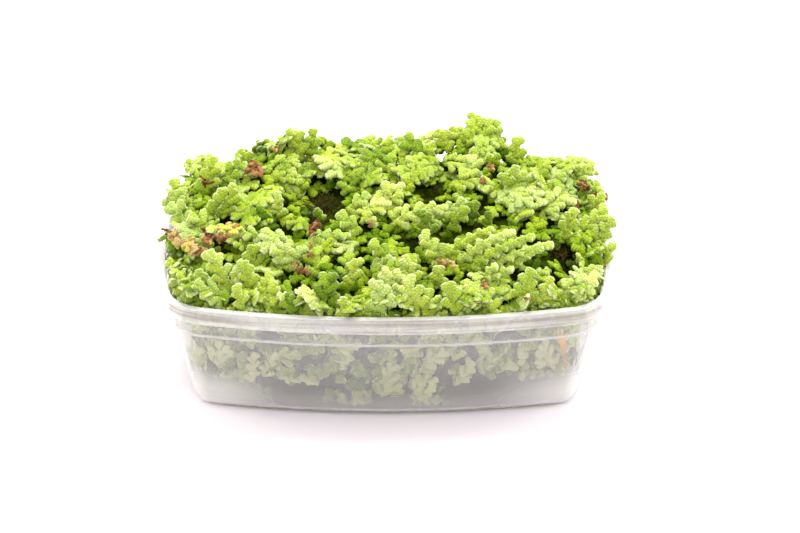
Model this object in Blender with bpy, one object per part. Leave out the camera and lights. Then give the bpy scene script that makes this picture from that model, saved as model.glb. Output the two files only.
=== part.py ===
"""Mosquito fern heaped in a clear plastic tub.

The tub is one thin-walled solid, a rounded rectangle with bowed sides. Its packed lower plants are
one lumpy cushion, and the leafy sprays on top are separate lobed fronds, one to each cell of a
jittered layout. The origin is the middle of the tub's footprint, on the surface it stands on.
+X runs along the tub's long side and +Z is up.
"""

import math
import random

import bpy
from mathutils import Vector, noise
from mathutils.bvhtree import BVHTree

MM = 0.001

# Tub, in millimetres. Insets are measured inward from the rim's outer edge.
TUB_LENGTH = 172.0
TUB_DEPTH = 120.0
TUB_HEIGHT = 47.5
LONG_SIDE_BOW_RADIUS = 310.0
SHORT_SIDE_BOW_RADIUS = 205.0
RIM_CORNER_RADIUS = 19.0
LEAST_CORNER_RADIUS = 3.0
WALL = 0.8
SKIRT_HEIGHT = 6.1
SKIRT_GAP = 1.1
RIM_EDGE = 0.5
LEDGE_DROP = 12.2
LEDGE_WIDTH = 2.2
LEDGE_FALL = 1.2
UPPER_WALL_DRAFT = 0.3
WALL_FOOT_HEIGHT = 7.0
WALL_FOOT_INSET = 10.0
FLOOR_INSET = 17.0
FILLET_STEPS = 3
CORNER_STEPS = 5
LONG_SIDE_STEPS = 6
SHORT_SIDE_STEPS = 4

# Packed plants. The cushion keeps MAT_GAP to the tub. Each frond's underside starts FROND_GAP above
# the cushion and rises by SEAT_STEP until it clears it by SEAT_CLEARANCE.
MAT_GAP = 0.7
MAT_STEP_EASE = 0.5
MAT_STEP_RISE = 3.6
FROND_GAP = 1.2
FROND_DEPTH = 6.4
SEAT_STEP = 0.3
SEAT_CLEARANCE = 0.4
MAT_RINGS = 9

# Heap: how far its surface rises above the rim, from the front edge to the crest and the back edge.
FRONT_RISE = 3.0
CREST_RISE = 24.0
CREST_Y = 28.0
BACK_RISE = 9.0
END_DROP = 11.0
LUMP_RISE = 1.6
LUMP_SIZE = 24.0

# Wide knolls and dips of the heap, and small hollows in its fronds: middle x, middle y, rise, radius.
KNOLLS = (
    (36.0, 40.0, 14.0, 13.0),
    (12.0, 42.0, 2.0, 14.0),
    (-31.0, 40.0, 3.5, 14.0),
    (-72.0, 42.0, -4.0, 15.0),
    (74.0, 42.0, -3.0, 13.0),
    (59.0, 47.0, -5.0, 11.0),
)
HOLLOWS = (
    (-25.0, -3.0, -3.5, 9.0),
    (16.0, 6.0, -3.0, 8.0),
    (68.0, -24.0, -3.0, 9.0),
    (47.0, -39.0, -2.5, 8.0),
)

# Fronds: a ring of them along the rim and jittered rows within it, one lobed spray to each place.
FROND_CELL = 19.0
FROND_JITTER = 0.12
RIM_FRONDS = 24
RIM_FROND_INSET = 11.0
INNER_FROND_INSET = 22.5
FROND_EDGE_INSET = 3.0
FROND_CLEARANCE = 0.4
FROND_LOBES = (5, 6, 7)
LOBE_DEPTH = 0.27
MOST_STRETCH = 1.75
CROWN_SHARE = 0.60
RIM_LOBE_RISE = 1.0
CROWN_LOBE_RISE = 1.6
FROND_POINTS = 24
FROND_TIP_LIFT = 4.0
LAYOUT_SEED = 7


def clear_scene():
    for obj in list(bpy.data.objects):
        bpy.data.objects.remove(obj, do_unlink=True)


def principled(name, colour, roughness, transmission=0.0):
    material = bpy.data.materials.new(name)
    material.use_nodes = True
    shader = material.node_tree.nodes["Principled BSDF"]
    shader.inputs["Base Color"].default_value = (*colour, 1.0)
    shader.inputs["Roughness"].default_value = roughness
    shader.inputs["Metallic"].default_value = 0.0
    shader.inputs["Transmission Weight"].default_value = transmission
    return material


def solid(name, points, faces, material, smooth_angle):
    """An object whose mesh holds these points, in millimetres, and faces, turned to face out."""
    mesh = bpy.data.meshes.new(name)
    mesh.from_pydata([Vector(point) * MM for point in points], [], faces)
    mesh.validate()
    mesh.shade_smooth()
    mesh.set_sharp_from_angle(angle=math.radians(smooth_angle))
    mesh.materials.append(material)
    obj = bpy.data.objects.new(name, mesh)
    bpy.context.scene.collection.objects.link(obj)
    return obj


# Plan outline shared by the tub and what fills it.


def arc(centre, radius, start, end, steps):
    """Points on an arc from one angle to another, without the last one."""
    points = []
    for step in range(steps):
        angle = start + (end - start) * step / steps
        points.append((centre[0] + radius * math.cos(angle), centre[1] + radius * math.sin(angle)))
    return points


def quadrant(inset):
    """The outline from +X round to +Y: a bowed short side, a corner arc and a bowed long side.

    The corner's circle touches both side arcs from inside, so its centre lies at the meeting of two
    circles about their centres.
    """
    corner = max(RIM_CORNER_RADIUS - inset, LEAST_CORNER_RADIUS)
    short_centre = Vector((TUB_LENGTH / 2 - inset - SHORT_SIDE_BOW_RADIUS, 0.0))
    long_centre = Vector((0.0, TUB_DEPTH / 2 - inset - LONG_SIDE_BOW_RADIUS))
    from_long = LONG_SIDE_BOW_RADIUS - corner
    from_short = SHORT_SIDE_BOW_RADIUS - corner
    between = short_centre - long_centre
    distance = between.length
    along = (from_long**2 - from_short**2 + distance**2) / (2 * distance)
    across = math.sqrt(from_long**2 - along**2)
    step = between / distance
    corner_centre = long_centre + step * along + Vector((step.y, -step.x)) * across
    short_end = math.atan2(*(corner_centre - short_centre).yx)
    long_start = math.atan2(*(corner_centre - long_centre).yx)
    points = arc(short_centre, SHORT_SIDE_BOW_RADIUS, 0.0, short_end, SHORT_SIDE_STEPS)
    points += arc(corner_centre, corner, short_end, long_start, CORNER_STEPS)
    points += arc(long_centre, LONG_SIDE_BOW_RADIUS, long_start, math.pi / 2, LONG_SIDE_STEPS)
    return points


def outline(inset):
    """The closed plan outline at an inset from the rim's outer edge, counter-clockwise."""
    first = quadrant(inset)
    top = [(0.0, TUB_DEPTH / 2 - inset)]
    end = [(-(TUB_LENGTH / 2 - inset), 0.0)]
    second = [(-x, y) for x, y in reversed(first[1:])]
    upper = first + top + second
    lower = [(-x, -y) for x, y in upper]
    return upper + end + lower[1:]


def edge_distance(x, y):
    """How far a point lies inside the rim's outer edge. A point outside gives a negative distance."""
    low, high = -20.0, TUB_DEPTH / 2 - 1.0
    for _ in range(14):
        middle = (low + high) / 2
        if inside(outline(middle), x, y):
            low = middle
        else:
            high = middle
    return low


def inside(loop, x, y):
    found = False
    for (x1, y1), (x2, y2) in zip(loop, loop[1:] + loop[:1]):
        if (y1 > y) != (y2 > y) and x < x1 + (y - y1) * (x2 - x1) / (y2 - y1):
            found = not found
    return found


def joined_rings(rings):
    """Faces between successive rings of points that have the same count."""
    count = len(rings[0])
    faces = []
    for ring in range(len(rings) - 1):
        for place in range(count):
            following = (place + 1) % count
            near, far = ring * count, (ring + 1) * count
            faces.append((near + place, near + following, far + following, far + place))
    return faces


# Tub


UPPER_INSET = WALL + SKIRT_GAP
WALL_TOP_INSET = UPPER_INSET + LEDGE_WIDTH
LEDGE_HEIGHT = TUB_HEIGHT - LEDGE_DROP


def fillet(offset):
    """Quarter ellipse from the floor to the foot of the wall, an offset inside the outer face, as
    (inset, height)."""
    foot_inset = WALL_FOOT_INSET + offset
    points = []
    for step in range(FILLET_STEPS + 1):
        angle = math.pi / 2 * step / FILLET_STEPS
        inset = foot_inset + (FLOOR_INSET - foot_inset) * (1 - math.sin(angle))
        height = offset + (WALL_FOOT_HEIGHT - offset) * (1 - math.cos(angle))
        points.append((inset, height))
    return points


def tub_section():
    """The wall's section as (inset, height), from the floor's outer edge, up and over the rim, to its
    inner edge."""
    skirt_foot = TUB_HEIGHT - SKIRT_HEIGHT
    underside = TUB_HEIGHT - WALL
    inner_inset = UPPER_INSET + WALL
    rise_out = [
        (WALL_TOP_INSET, LEDGE_HEIGHT - LEDGE_FALL),
        (UPPER_INSET + UPPER_WALL_DRAFT, LEDGE_HEIGHT),
        (UPPER_INSET, underside),
        (WALL, underside),
        (WALL, skirt_foot),
        (0.0, skirt_foot),
        (0.0, TUB_HEIGHT - RIM_EDGE),
        (RIM_EDGE, TUB_HEIGHT),
        (inner_inset - RIM_EDGE, TUB_HEIGHT),
        (inner_inset, TUB_HEIGHT - RIM_EDGE),
    ]
    fall_in = [
        (inner_inset + UPPER_WALL_DRAFT, LEDGE_HEIGHT + WALL / 2),
        (WALL_TOP_INSET + WALL, LEDGE_HEIGHT - LEDGE_FALL + WALL / 2),
    ]
    return fillet(0.0) + rise_out + fall_in + fillet(WALL)[::-1]


def build_tub(material):
    rings = []
    for inset, height in tub_section():
        rings.append([(x, y, height) for x, y in outline(inset)])
    points = [point for ring in rings for point in ring]
    faces = joined_rings(rings)
    count = len(rings[0])
    last = (len(rings) - 1) * count
    points += [(0.0, 0.0, 0.0), (0.0, 0.0, WALL)]
    floor, inner_floor = len(points) - 2, len(points) - 1
    for place in range(count):
        following = (place + 1) % count
        faces.append((floor, following, place))
        faces.append((inner_floor, last + place, last + following))
    return solid("tub", points, faces, material, 35)


# Heap


def eased(value):
    value = min(max(value, 0.0), 1.0)
    return math.sin(value * math.pi / 2)


def mounds(x, y, places):
    """Height that round knolls, or dips where the rise is negative, add at a point."""
    total = 0.0
    for middle_x, middle_y, rise, radius in places:
        total += rise * math.exp(-((x - middle_x) ** 2 + (y - middle_y) ** 2) / radius**2)
    return total


def slope_height(x, y):
    """Height of the heap without its hollows: a slope from the front edge to a crest near the back,
    lower at both ends, with the knolls, the dips and a gentle lumpiness added."""
    front = -TUB_DEPTH / 2 + FROND_EDGE_INSET
    back = TUB_DEPTH / 2 - FROND_EDGE_INSET
    if y < CREST_Y:
        rise = FRONT_RISE + (CREST_RISE - FRONT_RISE) * eased((y - front) / (CREST_Y - front))
    else:
        fall = (y - CREST_Y) / (back - CREST_Y)
        rise = CREST_RISE - (CREST_RISE - BACK_RISE) * min(fall, 1.0) ** 2
    end = min(abs(x) / (TUB_LENGTH / 2), 1.0)
    rise -= min(END_DROP, rise) * end**5
    rise += LUMP_RISE * noise.noise(Vector((x / LUMP_SIZE, y / LUMP_SIZE, 4.2)))
    return TUB_HEIGHT + rise + mounds(x, y, KNOLLS)


def heap_height(x, y):
    return slope_height(x, y) + mounds(x, y, HOLLOWS)


def bed_height(x, y):
    return slope_height(x, y) - FROND_DEPTH


def build_mat(material):
    """The cushion of packed plants: rings up the tub's inner wall, then closing over the top."""
    lining = WALL + MAT_GAP
    step_foot = LEDGE_HEIGHT - LEDGE_FALL
    top_inset = UPPER_INSET + UPPER_WALL_DRAFT + lining
    sides = fillet(lining)
    sides.append((WALL_TOP_INSET + lining + MAT_STEP_EASE, step_foot))
    sides.append((top_inset, step_foot + MAT_STEP_RISE))
    rings = []
    for inset, height in sides:
        rings.append([(x, y, height) for x, y in outline(inset)])
    edge = outline(top_inset)
    for ring in range(MAT_RINGS):
        share = 1 - ring / MAT_RINGS
        rings.append([(x * share, y * share, bed_height(x * share, y * share)) for x, y in edge])
    points = [point for ring in rings for point in ring]
    faces = joined_rings(rings)
    count = len(edge)
    last = (len(rings) - 1) * count
    points += [(0.0, 0.0, lining), (0.0, 0.0, bed_height(0.0, 0.0))]
    bottom, top = len(points) - 2, len(points) - 1
    for place in range(count):
        following = (place + 1) % count
        faces.append((bottom, following, place))
        faces.append((top, last + place, last + following))
    return solid("fern_mat", points, faces, material, 60)


# Fronds


def points_along(loop, count):
    """Points at equal spacing along a closed loop."""
    sides = list(zip(loop, loop[1:] + loop[:1]))
    length = sum(math.dist(start, end) for start, end in sides)
    points = []
    travelled = 0.0
    for start, end in sides:
        side = math.dist(start, end)
        while len(points) < count and travelled + side > len(points) * length / count:
            share = (len(points) * length / count - travelled) / side
            points.append((start[0] + (end[0] - start[0]) * share, start[1] + (end[1] - start[1]) * share))
        travelled += side
    return points


def frond_layout():
    """Middles of the fronds: evenly along the rim, then a hexagonal grid within, a little jittered."""
    dice = random.Random(LAYOUT_SEED)
    wander = FROND_CELL * FROND_JITTER
    middles = []
    for x, y in points_along(outline(RIM_FROND_INSET), RIM_FRONDS):
        middles.append((x + 0.5 * wander * dice.uniform(-1, 1), y + 0.5 * wander * dice.uniform(-1, 1)))
    row_step = FROND_CELL * math.sqrt(3) / 2
    rows = int(TUB_DEPTH / row_step)
    columns = int(TUB_LENGTH / FROND_CELL / 2) + 1
    for row in range(rows):
        y = (row - (rows - 1) / 2) * row_step
        for column in range(-columns, columns + 1):
            x = (column + 0.5 * (row % 2)) * FROND_CELL
            if edge_distance(x, y) > INNER_FROND_INSET:
                middles.append((x + wander * dice.uniform(-1, 1), y + wander * dice.uniform(-1, 1)))
    return middles


def cell_reach(middle, others, angle):
    """How far a frond may reach from its middle at an angle: to the line half way to each
    neighbour, or to the rim's inner edge."""
    step = (math.cos(angle), math.sin(angle))
    reach = FROND_CELL
    for other in others:
        away = (other[0] - middle[0], other[1] - middle[1])
        distance = math.hypot(*away)
        towards = (step[0] * away[0] + step[1] * away[1]) / distance
        if towards > 0.05:
            reach = min(reach, (distance / 2 - FROND_CLEARANCE) / towards)
    while edge_distance(middle[0] + step[0] * reach, middle[1] + step[1] * reach) < FROND_EDGE_INSET:
        reach -= 0.4
    return reach


def raised_surface(obj, rise):
    """A search tree of an object's triangles, lifted by a rise in millimetres."""
    obj.data.calc_loop_triangles()
    points = [vertex.co / MM + Vector((0.0, 0.0, rise)) for vertex in obj.data.vertices]
    return BVHTree.FromPolygons(points, [tuple(face.vertices) for face in obj.data.loop_triangles])


def seated(rim, bottom, bed_tree):
    """The underside's points, raised together until its fan of faces meets no face of the bed and
    none of them lies below it."""
    upwards = Vector((0.0, 0.0, 1.0))
    while True:
        fan = [(place, (place + 1) % len(rim), len(rim)) for place in range(len(rim))]
        meets = bed_tree.overlap(BVHTree.FromPolygons(rim + [bottom], fan))
        covered = any(bed_tree.ray_cast(Vector(point), upwards)[0] for point in rim + [bottom])
        if not meets and not covered:
            return rim, bottom
        rim = [(x, y, z + SEAT_STEP) for x, y, z in rim]
        bottom = (bottom[0], bottom[1], bottom[2] + SEAT_STEP)


def build_frond(name, middle, others, dice, material, bed_tree):
    """A fan of rounded lobes: its rim follows the lobes, its upper ring swells along each of them,
    and the side that faces its tip stands a little higher."""
    lobes = dice.choice(FROND_LOBES)
    turn = dice.uniform(0, 2 * math.pi)
    lift = dice.uniform(0.3, 1.0) * FROND_TIP_LIFT
    angles = [2 * math.pi * place / FROND_POINTS for place in range(FROND_POINTS)]
    reaches = [cell_reach(middle, others, angle) for angle in angles]
    most = MOST_STRETCH * min(reaches)
    rim, crown = [], []
    for angle, free_reach in zip(angles, reaches):
        lobe = abs(math.cos(lobes * (angle - turn) / 2)) ** 0.6
        reach = min(free_reach, most) * (1 - LOBE_DEPTH * (1 - lobe))
        towards_tip = 0.5 + 0.5 * math.cos(angle - turn)
        x = middle[0] + reach * math.cos(angle)
        y = middle[1] + reach * math.sin(angle)
        low = bed_height(x, y) + FROND_GAP
        rim.append((x, y, low + 0.45 * lift * towards_tip + RIM_LOBE_RISE * lobe))
        x = middle[0] + CROWN_SHARE * reach * math.cos(angle)
        y = middle[1] + CROWN_SHARE * reach * math.sin(angle)
        high = heap_height(x, y) - CROWN_LOBE_RISE
        crown.append((x, y, high + 0.5 * lift * towards_tip + CROWN_LOBE_RISE * lobe))
    top = (*middle, heap_height(*middle) - 0.8 + 0.25 * lift)
    bottom = (*middle, bed_height(*middle) + FROND_GAP)
    rim, bottom = seated(rim, bottom, bed_tree)
    points = rim + crown + [bottom, top]
    faces = []
    for place in range(FROND_POINTS):
        following = (place + 1) % FROND_POINTS
        above, above_next = FROND_POINTS + place, FROND_POINTS + following
        faces.append((2 * FROND_POINTS, following, place))
        faces.append((place, following, above_next, above))
        faces.append((2 * FROND_POINTS + 1, above, above_next))
    return solid(name, points, faces, material, 50)


def build_fronds(shades, mat):
    dice = random.Random(LAYOUT_SEED + 1)
    bed_tree = raised_surface(mat, SEAT_CLEARANCE)
    middles = frond_layout()
    for number, middle in enumerate(middles, start=1):
        others = [other for other in middles if other != middle]
        others = [other for other in others if math.dist(other, middle) < 2 * FROND_CELL]
        shade = shades[number % len(shades)]
        build_frond(f"frond_{number:02d}", middle, others, dice, shade, bed_tree)


def main():
    clear_scene()
    clear_plastic = principled("clear_plastic", (0.90, 0.90, 0.92), 0.12, transmission=0.9)
    packed_fern = principled("packed_fern", (0.20, 0.28, 0.06), 0.85)
    shades = [
        principled("frond_green", (0.42, 0.62, 0.10), 0.70),
        principled("frond_pale_green", (0.55, 0.72, 0.20), 0.70),
        principled("frond_deep_green", (0.24, 0.42, 0.08), 0.75),
    ]
    build_tub(clear_plastic)
    mat = build_mat(packed_fern)
    build_fronds(shades, mat)


main()
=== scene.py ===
"""Mosquito fern heaped in a clear plastic tub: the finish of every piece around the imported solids.

Shapes are worked out in millimetres and put into the meshes in metres, in the frame of the solids:
the origin is the middle of the tub's foot, +X runs along its long side and +Y towards its back.
"""

import math

import bpy
import numpy as np
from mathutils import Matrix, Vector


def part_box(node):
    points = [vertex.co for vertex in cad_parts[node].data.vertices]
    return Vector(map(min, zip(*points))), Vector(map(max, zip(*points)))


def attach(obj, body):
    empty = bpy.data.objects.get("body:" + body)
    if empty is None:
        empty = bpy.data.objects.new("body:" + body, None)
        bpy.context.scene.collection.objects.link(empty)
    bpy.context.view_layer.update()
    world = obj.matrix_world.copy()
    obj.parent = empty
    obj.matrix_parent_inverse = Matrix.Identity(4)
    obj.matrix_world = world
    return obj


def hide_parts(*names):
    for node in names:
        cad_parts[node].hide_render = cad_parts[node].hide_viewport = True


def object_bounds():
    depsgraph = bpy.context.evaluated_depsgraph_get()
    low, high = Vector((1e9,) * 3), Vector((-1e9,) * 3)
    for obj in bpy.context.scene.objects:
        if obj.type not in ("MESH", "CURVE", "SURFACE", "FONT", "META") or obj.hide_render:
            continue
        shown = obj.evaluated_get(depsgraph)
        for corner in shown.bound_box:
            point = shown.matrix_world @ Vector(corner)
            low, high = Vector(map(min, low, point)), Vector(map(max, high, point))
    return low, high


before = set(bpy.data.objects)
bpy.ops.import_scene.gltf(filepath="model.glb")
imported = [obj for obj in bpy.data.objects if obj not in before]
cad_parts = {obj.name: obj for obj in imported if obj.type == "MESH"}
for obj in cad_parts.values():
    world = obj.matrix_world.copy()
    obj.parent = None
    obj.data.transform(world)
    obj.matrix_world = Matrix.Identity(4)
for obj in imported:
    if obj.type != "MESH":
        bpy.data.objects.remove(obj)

cad_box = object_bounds()
MM = 0.001

# Camera. The photograph was taken from the front through a long lens, a little over a metre away.
# The middle of the tub's rim lies at RIM_PIXEL, and a millimetre there covers PIXELS_PER_MM.

FRAME_WIDTH, FRAME_HEIGHT = 800, 533
RIM_PIXEL = (385.7, 243.0)
PIXELS_PER_MM = 2.635
CAMERA_DISTANCE = 1200.0
CAMERA_ELEVATION = math.radians(28.0)
SENSOR_WIDTH = 36.0
TUB_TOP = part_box("tub")[1][2] / MM

view_right = np.array([1.0, 0.0, 0.0])
view_back = np.array([0.0, -math.cos(CAMERA_ELEVATION), math.sin(CAMERA_ELEVATION)])
view_up = np.array([0.0, math.sin(CAMERA_ELEVATION), math.cos(CAMERA_ELEVATION)])
rim_middle = np.array([0.0, 0.0, TUB_TOP])
eye = rim_middle + CAMERA_DISTANCE * view_back

camera_data = bpy.data.cameras.new("camera")
camera_data.sensor_width = SENSOR_WIDTH
camera_data.lens = PIXELS_PER_MM * CAMERA_DISTANCE * SENSOR_WIDTH / FRAME_WIDTH
camera_data.shift_x = (FRAME_WIDTH / 2 - RIM_PIXEL[0]) / FRAME_WIDTH
camera_data.shift_y = (RIM_PIXEL[1] - FRAME_HEIGHT / 2) / FRAME_WIDTH
camera_data.clip_end = 20.0
camera = bpy.data.objects.new("camera", camera_data)
camera.location = eye * MM
camera.rotation_euler = (math.pi / 2 - CAMERA_ELEVATION, 0.0, 0.0)
bpy.context.scene.collection.objects.link(camera)
bpy.context.scene.camera = camera


# Tub. A food tub thermoformed from one clear sheet: bowed sides, a flat rim with a skirt turned down
# round it, a shoulder step below and a wide curve into the floor. The plastic is slightly milky.

TUB_LENGTH = 172.0
TUB_DEPTH = 120.0
LONG_SIDE_BOW = 310.0
SHORT_SIDE_BOW = 205.0
RIM_CORNER = 19.0
LEAST_CORNER = 3.0
WALL = 0.8
SKIRT_HEIGHT = 6.1
UPPER_INSET = 1.9
LEDGE_DROP = 12.2
LEDGE_WIDTH = 2.2
FOOT_INSET = 10.0
FOOT_HEIGHT = 7.0
FLOOR_INSET = 17.0
TUB_TURNS = 160
CURVE_STEPS = 5
RIM_JOINT = 0.02
CLEAR_TINT = (0.985, 0.985, 0.948)

# Where the plastic turns milky, painted light that shines through the tub's ends and foot: past this x
# and this y at a corner, and below these heights.
GLOW_END = 56.0
GLOW_SIDE = 38.0
GLOW_CORNER = 15.0
GLOW_FOOT = 9.0

# Share of a quarter's turn at the ends of its short side and of its corner.
CORNER_SHARES = (0.30, 0.62)


def outline_arcs(inset):
    """Arcs of a quarter of the outline at an inset from the rim's edge: the middle of the bowed short
    side along x, that of the bowed long side along y, the corner's middle and radius, and the angles
    at which the corner meets the short and the long side. The corner touches both from within, so
    its middle lies at their radii less its own from their middles, where two circles cross."""
    corner = np.maximum(RIM_CORNER - inset, LEAST_CORNER)
    short_x = TUB_LENGTH / 2 - inset - SHORT_SIDE_BOW
    long_y = TUB_DEPTH / 2 - inset - LONG_SIDE_BOW
    from_long = LONG_SIDE_BOW - corner
    from_short = SHORT_SIDE_BOW - corner
    between = np.hypot(short_x, long_y)
    along = (from_long**2 - from_short**2 + between**2) / (2 * between)
    across = np.sqrt(from_long**2 - along**2)
    corner_x = (short_x * along - long_y * across) / between
    corner_y = long_y + (-long_y * along - short_x * across) / between
    short_end = np.arctan2(corner_y, corner_x - short_x)
    long_start = np.arctan2(corner_y - long_y, corner_x)
    return short_x, long_y, corner_x, corner_y, corner, short_end, long_start


def tub_plan(inset, turn):
    """Plan point at an inset from the rim's edge and a share of a turn round it, counter-clockwise
    from +X. Each quarter is an arc of the bowed short side, a corner arc and an arc of the bowed long
    side, mirrored into the other quarters."""
    quarter = np.floor(turn * 4).astype(int) % 4
    share = turn * 4 - np.floor(turn * 4)
    share = np.where(quarter % 2 == 1, 1 - share, share)
    short_x, long_y, corner_x, corner_y, corner, short_end, long_start = outline_arcs(inset)
    first, second = CORNER_SHARES
    on_short = share < first
    on_long = share >= second
    short_angle = short_end * share / first
    corner_angle = short_end + (long_start - short_end) * (share - first) / (second - first)
    long_angle = long_start + (math.pi / 2 - long_start) * (share - second) / (1 - second)
    angle = np.where(on_short, short_angle, np.where(on_long, long_angle, corner_angle))
    radius = np.where(on_short, SHORT_SIDE_BOW, np.where(on_long, LONG_SIDE_BOW, corner))
    middle_x = np.where(on_short, short_x, np.where(on_long, 0.0, corner_x))
    middle_y = np.where(on_short, 0.0, np.where(on_long, long_y, corner_y))
    x = middle_x + radius * np.cos(angle)
    y = middle_y + radius * np.sin(angle)
    return np.where((quarter == 1) | (quarter == 2), -x, x), np.where(quarter >= 2, -y, y)


def rounded_section(corners, steps):
    """A section's (inset, height) points, with each corner eased by a quadratic curve that leaves it
    at the corner's third value, its reach, on both sides."""
    corners = np.array(corners)
    points, reach = corners[:, :2], corners[:, 2:3]
    before = np.vstack([points[:1], points[:-1]]) - points
    after = np.vstack([points[1:], points[-1:]]) - points
    before = points + before * reach / np.maximum(np.linalg.norm(before, axis=1, keepdims=True), 1e-6)
    after = points + after * reach / np.maximum(np.linalg.norm(after, axis=1, keepdims=True), 1e-6)
    share = np.linspace(0, 1, steps)[None, :, None]
    curve = before[:, None] * (1 - share) ** 2
    curve = curve + 2 * points[:, None] * share * (1 - share) + after[:, None] * share**2
    return curve.reshape(-1, 2)


def mesh_piece(name, points, triangles, material, corner_uv=None):
    """A smooth object of these points, in millimetres, and triangles, with a UV pair per corner."""
    mesh = bpy.data.meshes.new(name)
    mesh.vertices.add(len(points))
    mesh.vertices.foreach_set("co", (points * MM).astype(np.float32).ravel())
    mesh.loops.add(3 * len(triangles))
    mesh.loops.foreach_set("vertex_index", triangles.astype(np.int32).ravel())
    mesh.polygons.add(len(triangles))
    mesh.polygons.foreach_set("loop_start", np.arange(0, 3 * len(triangles), 3, dtype=np.int32))
    mesh.polygons.foreach_set("use_smooth", np.ones(len(triangles), dtype=bool))
    mesh.update(calc_edges=True)
    if corner_uv is not None:
        layer = mesh.uv_layers.new(name="OFBake")
        layer.data.foreach_set("uv", corner_uv.astype(np.float32).ravel())
    mesh.materials.append(material)
    piece = bpy.data.objects.new(name, mesh)
    bpy.context.scene.collection.objects.link(piece)
    return piece


def vectors(x, y, z):
    """Vectors, or points, from their three coordinates."""
    return np.stack(np.broadcast_arrays(x, y, z), axis=-1)


def faces_of(*corners):
    """Triangles from the numbers of their first, second and third corners, set after set."""
    return np.vstack([vectors(*three).reshape(-1, 3) for three in corners])


def ring_triangles(rows, columns):
    """Triangles of a grid whose rows close on themselves, facing out where the rows run upwards on
    the outside."""
    row, column = np.meshgrid(np.arange(rows - 1), np.arange(columns), indexing="ij")
    here = row * columns + column
    beside = row * columns + (column + 1) % columns
    return faces_of((here, beside, beside + columns), (here, beside + columns, here + columns))


class Finish:
    """A new material with its Principled shader, and nodes that are added to it. An input of a node
    is either a constant or the output of another node."""

    def __init__(self, name):
        self.material = bpy.data.materials.new(name)
        self.material.use_nodes = True
        self.tree = self.material.node_tree
        self.shader = self.tree.nodes["Principled BSDF"]

    def node(self, kind, inputs, **settings):
        """A new node of this kind, with its settings and its inputs."""
        node = self.tree.nodes.new("ShaderNode" + kind)
        for setting, value in settings.items():
            setattr(node, setting, value)
        for socket, value in inputs.items():
            if isinstance(value, bpy.types.NodeSocket):
                self.tree.links.new(value, node.inputs[socket])
            else:
                node.inputs[socket].default_value = value
        return node

    def place(self):
        """The place on the piece, in metres."""
        return self.node("TexCoord", {}).outputs["Object"]

    def math(self, operation, first, second=0.0, third=0.0):
        """The result of a maths operation on up to three values."""
        return self.node("Math", {0: first, 1: second, 2: third}, operation=operation).outputs[0]

    def eased(self, value, low, high, out_low, out_high):
        """A smooth step from one output to the other as the value goes from low to high."""
        inputs = {"Value": value, "From Min": low, "From Max": high, "To Min": out_low, "To Max": out_high}
        return self.node("MapRange", inputs, interpolation_type="SMOOTHSTEP").outputs["Result"]

    def noise(self, vector, scale, detail=2.0, roughness=0.5):
        """Soft noise between 0 and 1 over a vector."""
        inputs = {"Vector": vector, "Scale": scale, "Detail": detail, "Roughness": roughness}
        return self.node("TexNoise", inputs).outputs["Fac"]

    def ramp(self, value, *stops):
        """The colour of a value along a ramp, from the position and colour of each stop."""
        node = self.node("ValToRGB", {"Fac": value})
        elements = node.color_ramp.elements
        for element, (position, colour) in ((elements[0], stops[0]), (elements[1], stops[-1])):
            element.position = position
            element.color = (*colour, 1.0)
        for position, colour in stops[1:-1]:
            elements.new(position).color = (*colour, 1.0)
        return node.outputs["Color"]

    def fixed(self, socket, value):
        """Sets a socket of the shader to a constant."""
        self.shader.inputs[socket].default_value = value

    def wire(self, socket, output):
        """Links a node's output into a socket of the shader."""
        self.tree.links.new(output, self.shader.inputs[socket])

    def bump(self, height, strength, distance):
        """Links a bump of this height, over a distance in metres, into the shader's normal."""
        inputs = {"Height": height, "Strength": strength, "Distance": distance}
        self.wire("Normal", self.node("Bump", inputs).outputs["Normal"])


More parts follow.
